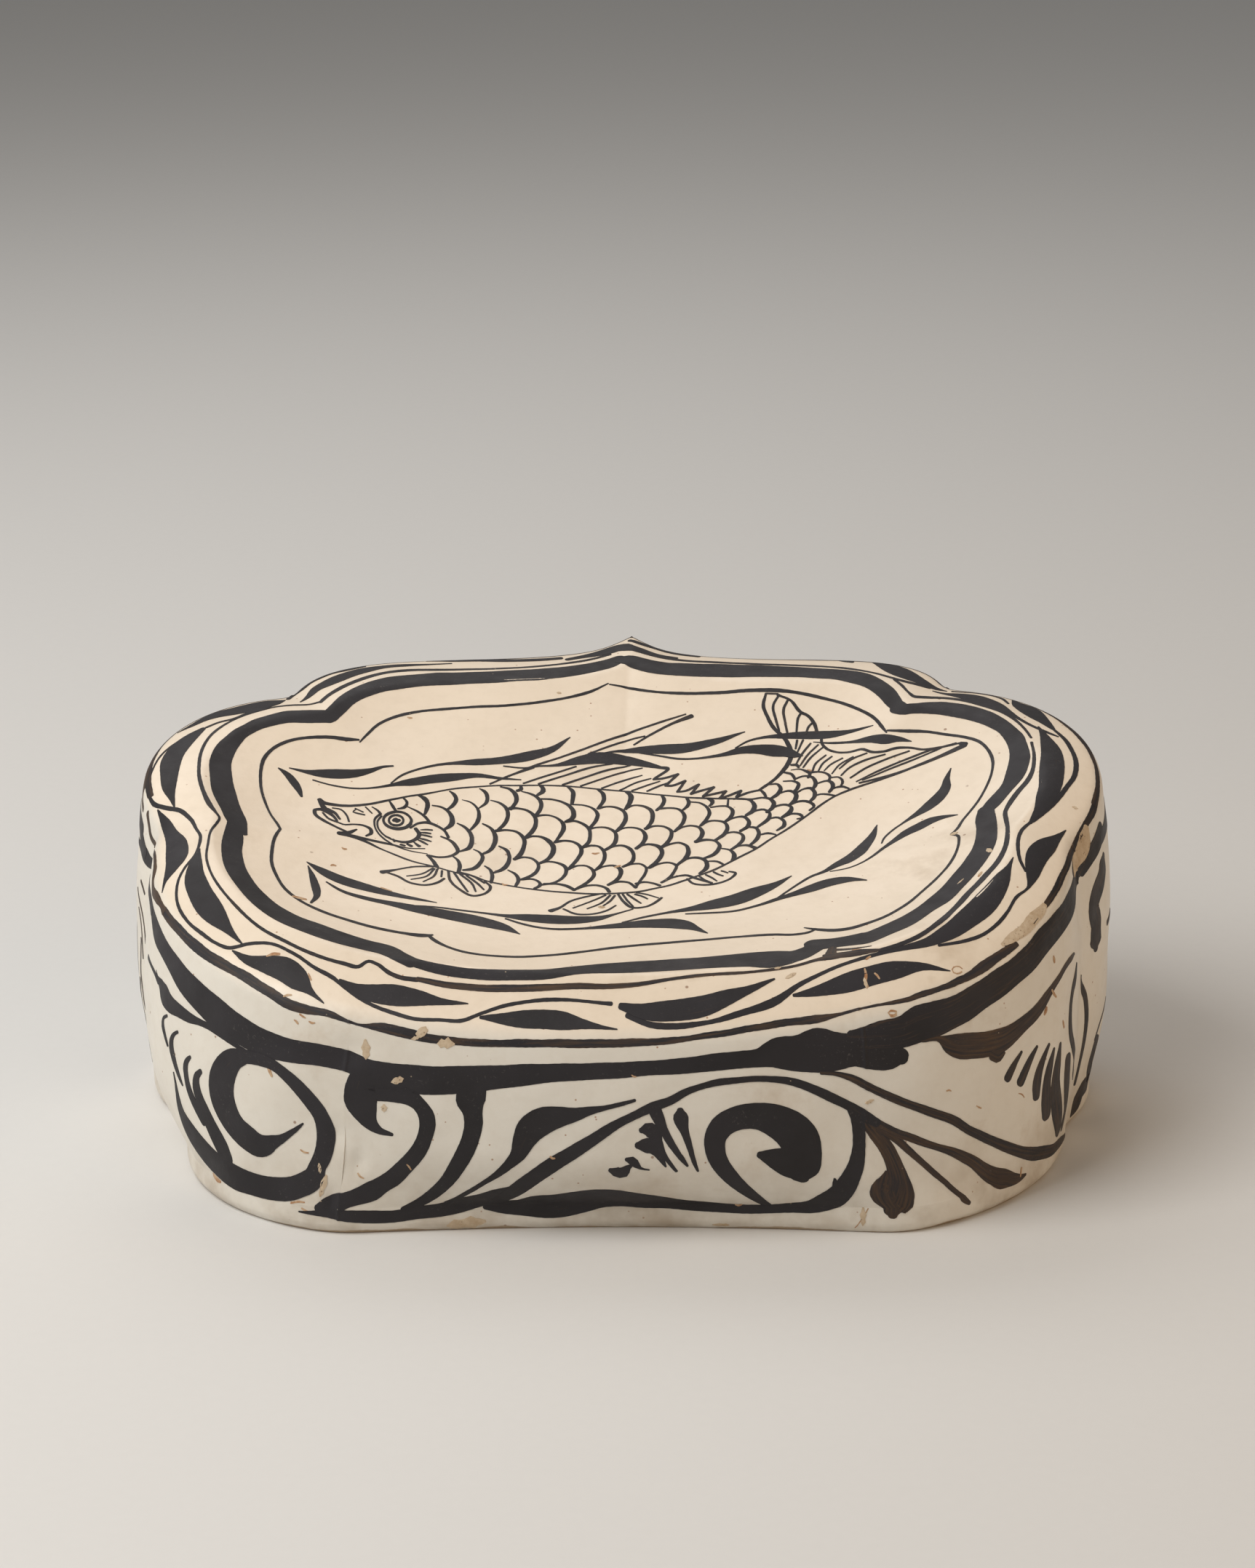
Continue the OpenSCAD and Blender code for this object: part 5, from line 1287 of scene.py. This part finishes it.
def band_round_back(skin):
    """The wall's broad band and the rim line, carried round the sides and back that are out of sight."""
    u = np.linspace(BACK_FIRST, BACK_LAST, BACK_POINTS)
    rim = skin.rim(*skin.edge(u))[0]
    ease = np.clip((u - BACK_FIRST) / BACK_EASE, 0, 1) * np.clip((BACK_LAST - u) / BACK_EASE, 0, 1)
    drop = 12 + ease * (4 + 2 * np.sin(u / 21))
    band = np.column_stack([u, rim - drop, 5 + 2.4 * ease + np.sin(u / 13 + 1)])
    line = np.column_stack([u, rim - 0.8 + 0.4 * np.sin(u / 17), 1.6 + 0.4 * np.sin(u / 9)])
    half = BACK_POINTS // 2
    return [tuple(band[:half + 1].ravel()), tuple(band[half:].ravel())], [tuple(line.ravel())]


class PILLOW_OT_top_painting(bpy.types.Operator):
    """Paints the headrest: panel line, lobed band, border, leaf scroll, fish and water weed"""
    bl_idname = "pillow.top_painting"
    bl_label = "Top painting"

    def execute(self, context):
        top = Skin().top
        for name, *groups in (
                ("panel_line", (PANEL_LINE, top, 0.85)),
                ("lobed_band", (LOBED_BAND, top, 1.0)),
                ("border_lines", (BORDER_LINES, top, 0.75), (BROWN_LINES, top, 0.4)),
                ("leaf_scroll", (LEAF_SCROLL, top, 0.9)),
                ("fish", (FISH_LINES, top, 0.75), (FISH_FINS, top, 0.7)),
                ("fish_scales", (FISH_SCALES, top, 0.75)),
                ("water_weed", (WATER_WEED, top, 0.95))):
            painted(name, groups)
        return {"FINISHED"}


class PILLOW_OT_wall_painting(bpy.types.Operator):
    """Paints the rim line, the band below it and the scrolls on every lobe of the wall"""
    bl_idname = "pillow.wall_painting"
    bl_label = "Wall painting"

    def execute(self, context):
        skin = Skin()
        wall = skin.wall
        band, line = band_round_back(skin)
        # The first right-hand scroll and those after the seventh are darker; the six between ran thin.
        right_dark, right_thin = RIGHT_SCROLLS[:1] + RIGHT_SCROLLS[7:], RIGHT_SCROLLS[1:7]
        ring = LEFT_SCROLLS[1:]
        unseen = (moved(ring, 322, 404, True, 1.28) + moved(LEFT_SCROLLS, 411, 472, True, 1.42)
                  + moved(LEFT_SCROLLS, 540, 662, True, 1.42) + moved(ring, 671, 752, False, 1.28))
        for name, *groups in (
                ("rim_line", (RIM_LINE, wall, 0.55), (RIM_WORN, wall, 0.25), (line, wall, 0.5)),
                ("wall_band", (WALL_BAND[:2], wall, 1.0), (WALL_BAND[2:], wall, 0.7),
                 (band + list(SIDE_BAND), wall, 0.9)),
                ("left_scrolls", (LEFT_SCROLLS, wall, 0.9), (SIDE_LINES, wall, 0.35)),
                ("front_scrolls", (FRONT_SCROLLS, wall, 0.9)),
                ("right_scrolls", (right_thin, wall, 0.36), (right_dark, wall, 0.5),
                 (RIGHT_SIDE, wall, 0.55)),
                ("rim_cracks", (CRACKS, wall, 0.4)),
                ("back_scrolls", (unseen, wall, 0.8))):
            painted(name, groups)
        return {"FINISHED"}


# Places where the slip is chipped off: arc length, height, half length, half height and turn in degrees.
WALL_CHIPS = (
    (6.1, 61.2, 1.3, 2.9, 6), (23.5, 66.8, 1.7, 1, 10), (31.5, 64.4, 2.6, 1.4, 0), (21.7, 65.6, 1.3, .5, 12),
    (16.9, 52.3, 1.9, 1.2, 20), (12.9, 43.2, .9, 1.1, 0), (37.2, 2.6, 5.5, 1.9, 8), (-5.9, 16, 1.0, 3.6, -14),
    (-7.4, 21.7, .6, 1.6, 10), (151.2, 5.9, .8, 3, 0), (164.1, 45, 1.4, .6, 20), (110.6, 1.6, 2.4, .6, 0),
)
# The same on the top: x, y, half length, half width and turn in degrees.
TOP_CHIPS = (
    (118.4, -33.2, .8, 1.5, 20), (107.9, -15, 1.1, .9, 10), (108.9, -47.6, 1.6, .35, 50),
    (55.1, -94.4, 1.8, .6, 30),
    (51.1, -91.6, 1, .5, 10), (78.1, -96.5, .5, 1.5, 15), (-4.9, -41.7, 1, .8, 0), (-22.9, 71.1, .7, .5, 0),
    (146.7, -11.4, .8, .6, 0),
)
# Chips lie in the ink's top layer and carry no ink.
CHIP_NUMBER, CHIP_LOAD = 17, 0


def chip_path(x, y, half_long, half_high, turn):
    """A short broad dab with a ragged outline."""
    if half_high > half_long:
        half_long, half_high, turn = half_high, half_long, turn + 90
    a = math.radians(turn)
    steps = np.linspace(-1, 1, 13)
    ragged = 1 + 0.22 * np.sin(7.3 * steps + x) + 0.13 * np.sin(15.7 * steps + y)
    across = 2 * half_high * np.sqrt(1 - (0.97 * steps) ** 2) * ragged
    along = steps * half_long
    return tuple(np.column_stack([x + along * math.cos(a), y + along * math.sin(a), across]).ravel())


class PILLOW_OT_chips(bpy.types.Operator):
    """Adds the bare clay of the chips and flakes, and the rust-brown scratches"""
    bl_idname = "pillow.chips"
    bl_label = "Chips"

    def execute(self, context):
        skin = Skin()
        runs = [(chip_path(*c), skin.wall) for c in WALL_CHIPS]
        runs += [(chip_path(*c), skin.top) for c in TOP_CHIPS]
        runs += [(path, skin.wall) for path in RIM_CHIPS]
        chips = [(path, place, CHIP_NUMBER, CHIP_LOAD) for path, place in runs]
        brushed("chips", chips, clay_material())
        painted("rust_marks", [(WEAR_TOP, skin.top, 0), (WEAR_WALL, skin.wall, 0)], rust_material())
        return {"FINISHED"}


class Nodes:
    """Short ways to add and join a material's nodes."""

    def __init__(self, name):
        old = bpy.data.materials.get(name)
        self.new = old is None
        self.material = old or bpy.data.materials.new(name)
        if self.new:
            self.material.use_nodes = True
            self.tree = self.material.node_tree
            self.shader = self.tree.nodes["Principled BSDF"]
            self.place = self.add("ShaderNodeTexCoord").outputs["Object"]

    def add(self, kind, **values):
        node = self.tree.nodes.new(kind)
        for key, value in values.items():
            setattr(node, key, value)
        return node

    def join(self, a, b):
        self.tree.links.new(a, b)

    def fill(self, slot, value):
        """Joins a socket to the slot, or sets the slot's own number or colour."""
        if isinstance(value, bpy.types.NodeSocket):
            self.join(value, slot)
        elif isinstance(value, (int, float)):
            slot.default_value = value
        else:
            slot.default_value = (*value, 1)

    def feed(self, **values):
        """Fills slots of the shader; an underscore in a key stands for a space."""
        for key, value in values.items():
            self.fill(self.shader.inputs[key.replace("_", " ")], value)

    def noise(self, scale, detail=3.0, rough=0.5, vector=None):
        node = self.add("ShaderNodeTexNoise")
        for key, value in (("Scale", scale), ("Detail", detail), ("Roughness", rough)):
            node.inputs[key].default_value = value
        self.join(vector or self.place, node.inputs["Vector"])
        return node.outputs["Fac"]

    def cells(self, scale):
        node = self.add("ShaderNodeTexVoronoi")
        node.inputs["Scale"].default_value = scale
        self.join(self.place, node.inputs["Vector"])
        return node.outputs["Distance"]

    def span(self, value, low, high, to_low=0.0, to_high=1.0):
        node = self.add("ShaderNodeMapRange")
        for key, number in (("From Min", low), ("From Max", high), ("To Min", to_low), ("To Max", to_high)):
            node.inputs[key].default_value = number
        self.join(value, node.inputs["Value"])
        return node.outputs["Result"]

    def math(self, operation, a, b):
        node = self.add("ShaderNodeMath", operation=operation)
        for slot, value in zip(node.inputs, (a, b)):
            self.fill(slot, value)
        return node.outputs[0]

    def times(self, a, b):
        return self.math("MULTIPLY", a, b)

    def mix(self, part, a, b):
        node = self.add("ShaderNodeMix", data_type="RGBA")
        for slot, value in zip((node.inputs[0], node.inputs[6], node.inputs[7]), (part, a, b)):
            self.fill(slot, value)
        return node.outputs[2]

    def attribute(self, name):
        return self.add("ShaderNodeAttribute", attribute_name=name).outputs["Fac"]

    def bump(self, height, strength, distance):
        node = self.add("ShaderNodeBump")
        node.inputs["Strength"].default_value = strength
        node.inputs["Distance"].default_value = distance
        self.join(height, node.inputs["Height"])
        self.feed(Normal=node.outputs["Normal"])

    def hand_made(self):
        """The slight unevenness that slip and ink share."""
        grain = self.math("ADD", self.noise(70, 3), self.times(self.noise(420, 4, 0.6), 0.35))
        self.bump(grain, 0.32, 0.0007)


# Tints laid over the slip: clouds, fine grain, stains and dirt at the foot; and tints in bare clay.
CLOUD, GRAIN, STAIN, DIRT = (0.62, 0.52, 0.38), (0.50, 0.40, 0.28), (0.46, 0.33, 0.20), (0.40, 0.31, 0.21)
FOOT_CLAY, PALE_CLAY, CLAY_PITS = (0.36, 0.27, 0.18), (0.66, 0.54, 0.39), (0.16, 0.10, 0.06)
# Tints laid over the ink: bluish pools, dust and pinholes; and the pale of rust marks.
INK_POOL, INK_DUST, INK_PIN = (0.034, 0.031, 0.035), (0.20, 0.175, 0.16), (0.55, 0.43, 0.30)
PALE_RUST = (0.56, 0.40, 0.25)


def slip_material(name):
    """White slip under a thin clear glaze, with specks, stains and wear; ivory below and cream on top, where
    the warmer, lighter tone is partly painted top light.
    """
    n = Nodes(name)
    if not n.new:
        return n.material
    c = colours()
    ivory, cream, rust, clay = tuple(c.ivory), tuple(c.cream), tuple(c.rust), tuple(c.clay)
    # Ivory at the rim's foot to cream on the top: the top's warmer, lighter tone is partly painted top light.
    ground = n.mix(n.span(n.attribute("crown"), 0.15, 0.85), ivory, cream) if name == "cream_slip_painted_top_light" else ivory
    ground = n.mix(n.span(n.noise(16, 4, 0.6), 0.35, 0.72, 0, 0.16), ground, CLOUD)
    ground = n.mix(n.span(n.noise(240, 5, 0.62), 0.45, 0.8, 0, 0.13), ground, GRAIN)
    stain = n.times(n.span(n.noise(34, 5, 0.65), 0.55, 0.72), n.span(n.noise(9, 2), 0.48, 0.62))
    ground = n.mix(n.times(stain, 0.42), ground, STAIN)
    speck = n.times(n.span(n.cells(210), 0.085, 0.05), n.span(n.noise(75, 2), 0.51, 0.55))
    ground = n.mix(n.times(speck, 0.8), ground, rust)
    spot = n.times(n.span(n.cells(90), 0.06, 0.04), n.span(n.noise(31, 2), 0.54, 0.57))
    ground = n.mix(n.times(spot, 0.75), ground, tuple(0.7 * v for v in rust))
    if name != "cream_slip_painted_top_light":
        height = n.add("ShaderNodeSeparateXYZ")
        n.join(n.place, height.inputs[0])
        low = n.times(n.span(height.outputs["Z"], 0.030, 0.002), n.span(n.noise(42, 4, 0.6), 0.40, 0.66))
        ground = n.mix(n.times(low, 0.75), ground, DIRT)
    if name == "foot_slip":
        ragged = n.math("ADD", n.attribute("bare"), n.span(n.noise(60, 4), 0.3, 0.7, -0.35, 0.35))
        bare = n.span(ragged, 0.4, 0.6)
        ground = n.mix(bare, ground, n.mix(n.noise(300, 5), clay, FOOT_CLAY))
    n.feed(Base_Color=ground, Roughness=n.span(n.noise(120, 4), 0.3, 0.7, 0.36, 0.50))
    n.feed(Coat_Weight=0.22, Coat_Roughness=0.28)
    n.hand_made()
    return n.material


def ink_material():
    """Iron ink under the glaze: near black where it is thick, brown and streaked where the brush ran dry."""
    n = Nodes("iron_ink")
    if not n.new:
        return n.material
    c = colours()
    stretch = n.add("ShaderNodeMapping")
    stretch.inputs["Scale"].default_value = (0.6, 11, 1)
    n.join(n.add("ShaderNodeUVMap", uv_map="brush").outputs["UV"], stretch.inputs["Vector"])
    hairs = n.noise(1.0, 4, 0.6, stretch.outputs["Vector"])
    load = n.span(n.attribute("load"), 0.0, 1.0, -0.35, 0.75)
    dry = n.math("SUBTRACT", n.span(hairs, 0.35, 0.75, 0.0, 0.9), load)
    tone = n.mix(n.span(n.noise(30, 4), 0.3, 0.75), tuple(c.ink), INK_POOL)
    tone = n.mix(n.span(dry, 0.0, 0.8, 0, 0.85), tone, tuple(c.thin_ink))
    dust = n.times(n.span(n.noise(900, 3, 0.7), 0.60, 0.74, 0, 0.25), n.span(n.noise(40, 2), 0.42, 0.6))
    tone = n.mix(dust, tone, INK_DUST)
    pin = n.times(n.span(n.cells(260), 0.07, 0.045), n.span(n.noise(60, 2), 0.60, 0.64))
    tone = n.mix(n.times(pin, 0.85), tone, INK_PIN)
    n.feed(Base_Color=tone, Roughness=n.span(n.noise(150, 4), 0.3, 0.7, 0.48, 0.64))
    n.feed(Specular_IOR_Level=0.22, Coat_Weight=0.06, Coat_Roughness=0.3)
    n.hand_made()
    return n.material


def clay_material():
    """Rough buff stoneware, bare where the slip is chipped and inside the pillow."""
    n = Nodes("bare_clay")
    if not n.new:
        return n.material
    tone = n.mix(n.span(n.noise(320, 5, 0.6), 0.35, 0.7), tuple(colours().clay), PALE_CLAY)
    tone = n.mix(n.span(n.cells(700), 0.22, 0.08, 0, 0.7), tone, CLAY_PITS)
    n.feed(Base_Color=tone, Roughness=0.85)
    n.bump(n.noise(700, 5, 0.65), 0.6, 0.0006)
    return n.material


def rust_material():
    """Rust-brown of the scratches and worn spots."""
    n = Nodes("rust_marks")
    if not n.new:
        return n.material
    tone = n.mix(n.span(n.noise(420, 4, 0.6), 0.35, 0.65), tuple(colours().rust), PALE_RUST)
    n.feed(Base_Color=tone, Roughness=0.7)
    return n.material


def floor_material():
    """Matt pale board with a faint grain."""
    n = Nodes("studio_floor")
    if not n.new:
        return n.material
    pale = tuple(colours().floor)
    tone = n.mix(n.span(n.noise(260, 3), 0.3, 0.7, 0, 0.10), pale, tuple(0.9 * v for v in pale))
    n.feed(Base_Color=tone, Roughness=0.9)
    return n.material


# The soft lamps: name, place, aim, size, power and tint, in metres and watts.
LAMPS = (
    ("key", (-0.75, -0.55, 1.15), (0, 0, 0.06), (0.9, 0.9), 14.5, (1.0, 0.975, 0.94)),
    ("fill", (1.25, -0.45, 0.6), (0, 0, 0.05), (1.0, 0.9), 4.2, (1.0, 0.64, 0.30)),
    ("back", (-0.35, 0.9, 1.15), (0, 0, 0.08), (1.2, 0.8), 5, (1.0, 0.98, 0.96)),
    ("side", (-1.35, 0.1, 0.5), (0, 0, 0.05), (0.9, 0.8), 2.6, (1.0, 0.985, 0.96)),
)
FLOOR_RADIUS = 9
SKY_TINT, SKY_STRENGTH = (1.0, 0.985, 0.965, 1), 0.2
# The camera's lens in millimetres, its angle over the table and to the side, its distance from the pillow's
# middle in metres, and how far off that it aims, to the right and up, as shares of the distance.
LENS, RISE, TURN, DISTANCE = 110.2, math.radians(21), math.radians(1.7), 1.5679
AIM_RIGHT, AIM_UP = 14.5 / 6600, 261.6 / 6600


def lamp(name, place, aim, size, power, colour):
    """One soft rectangular lamp, turned to its aim."""
    light = bpy.data.lights.new(name, "AREA")
    light.shape = "RECTANGLE"
    light.size, light.size_y = size
    light.energy = power
    light.color = colour
    body = bpy.data.objects.new(name, light)
    body.location = place
    body.rotation_euler = (Vector(aim) - Vector(place)).to_track_quat("-Z", "Y").to_euler()
    bpy.context.scene.collection.objects.link(body)


class PILLOW_OT_studio(bpy.types.Operator):
    """Sets the pale floor, the soft lamps and the camera"""
    bl_idname = "pillow.studio"
    bl_label = "Studio"

    def execute(self, context):
        bm = bmesh.new()
        bmesh.ops.create_circle(bm, cap_ends=True, segments=96, radius=FLOOR_RADIUS)
        floor = meshed("floor", bm)
        floor.data.materials.append(floor_material())
        world = bpy.data.worlds.new("studio")
        world.use_nodes = True
        sky = world.node_tree.nodes["Background"]
        sky.inputs["Color"].default_value = SKY_TINT
        sky.inputs["Strength"].default_value = SKY_STRENGTH
        context.scene.world = world
        for row in LAMPS:
            lamp(*row)
        camera = bpy.data.cameras.new("camera")
        camera.lens = LENS
        camera.sensor_width = 36
        camera.clip_end = 50
        eye = bpy.data.objects.new("camera", camera)
        back = Vector((math.sin(TURN) * math.cos(RISE), -math.cos(TURN) * math.cos(RISE), math.sin(RISE)))
        right = Vector((0, 0, 1)).cross(back).normalized()
        up = back.cross(right)
        aim = -back + right * AIM_RIGHT + up * AIM_UP
        eye.location = Vector((-MIDDLE[0] * MM, -MIDDLE[1] * MM, 0.05)) + back * DISTANCE
        eye.rotation_euler = aim.to_track_quat("-Z", "Y").to_euler()
        context.scene.collection.objects.link(eye)
        context.scene.camera = eye
        context.scene.view_settings.view_transform = "Standard"
        return {"FINISHED"}


class PILLOW_PT_panel(bpy.types.Panel):
    """Lists the pillow's pieces, sizes and colours"""
    bl_idname = "PILLOW_PT_panel"
    bl_label = "Painted Pillow"
    bl_space_type = "VIEW_3D"
    bl_region_type = "UI"
    bl_category = "Pillow"

    def draw(self, context):
        for step in STEPS:
            self.layout.operator(step.bl_idname)
        for group in (context.scene.pillow_sizes, context.scene.pillow_colours):
            for key in group.__annotations__:
                self.layout.prop(group, key)


STEPS = (PILLOW_OT_headrest, PILLOW_OT_walls, PILLOW_OT_base, PILLOW_OT_top_painting, PILLOW_OT_wall_painting,
         PILLOW_OT_chips, PILLOW_OT_studio)
CLASSES = (PillowSizes, PillowColours, *STEPS, PILLOW_PT_panel)


def register():
    for cls in CLASSES:
        bpy.utils.register_class(cls)
    bpy.types.Scene.pillow_sizes = bpy.props.PointerProperty(type=PillowSizes)
    bpy.types.Scene.pillow_colours = bpy.props.PointerProperty(type=PillowColours)


def unregister():
    del bpy.types.Scene.pillow_sizes
    del bpy.types.Scene.pillow_colours
    for cls in reversed(CLASSES):
        bpy.utils.unregister_class(cls)


def main():
    register()
    for step in STEPS:
        family, name = step.bl_idname.split(".")
        getattr(getattr(bpy.ops, family), name)()


if __name__ == "__main__":
    main()
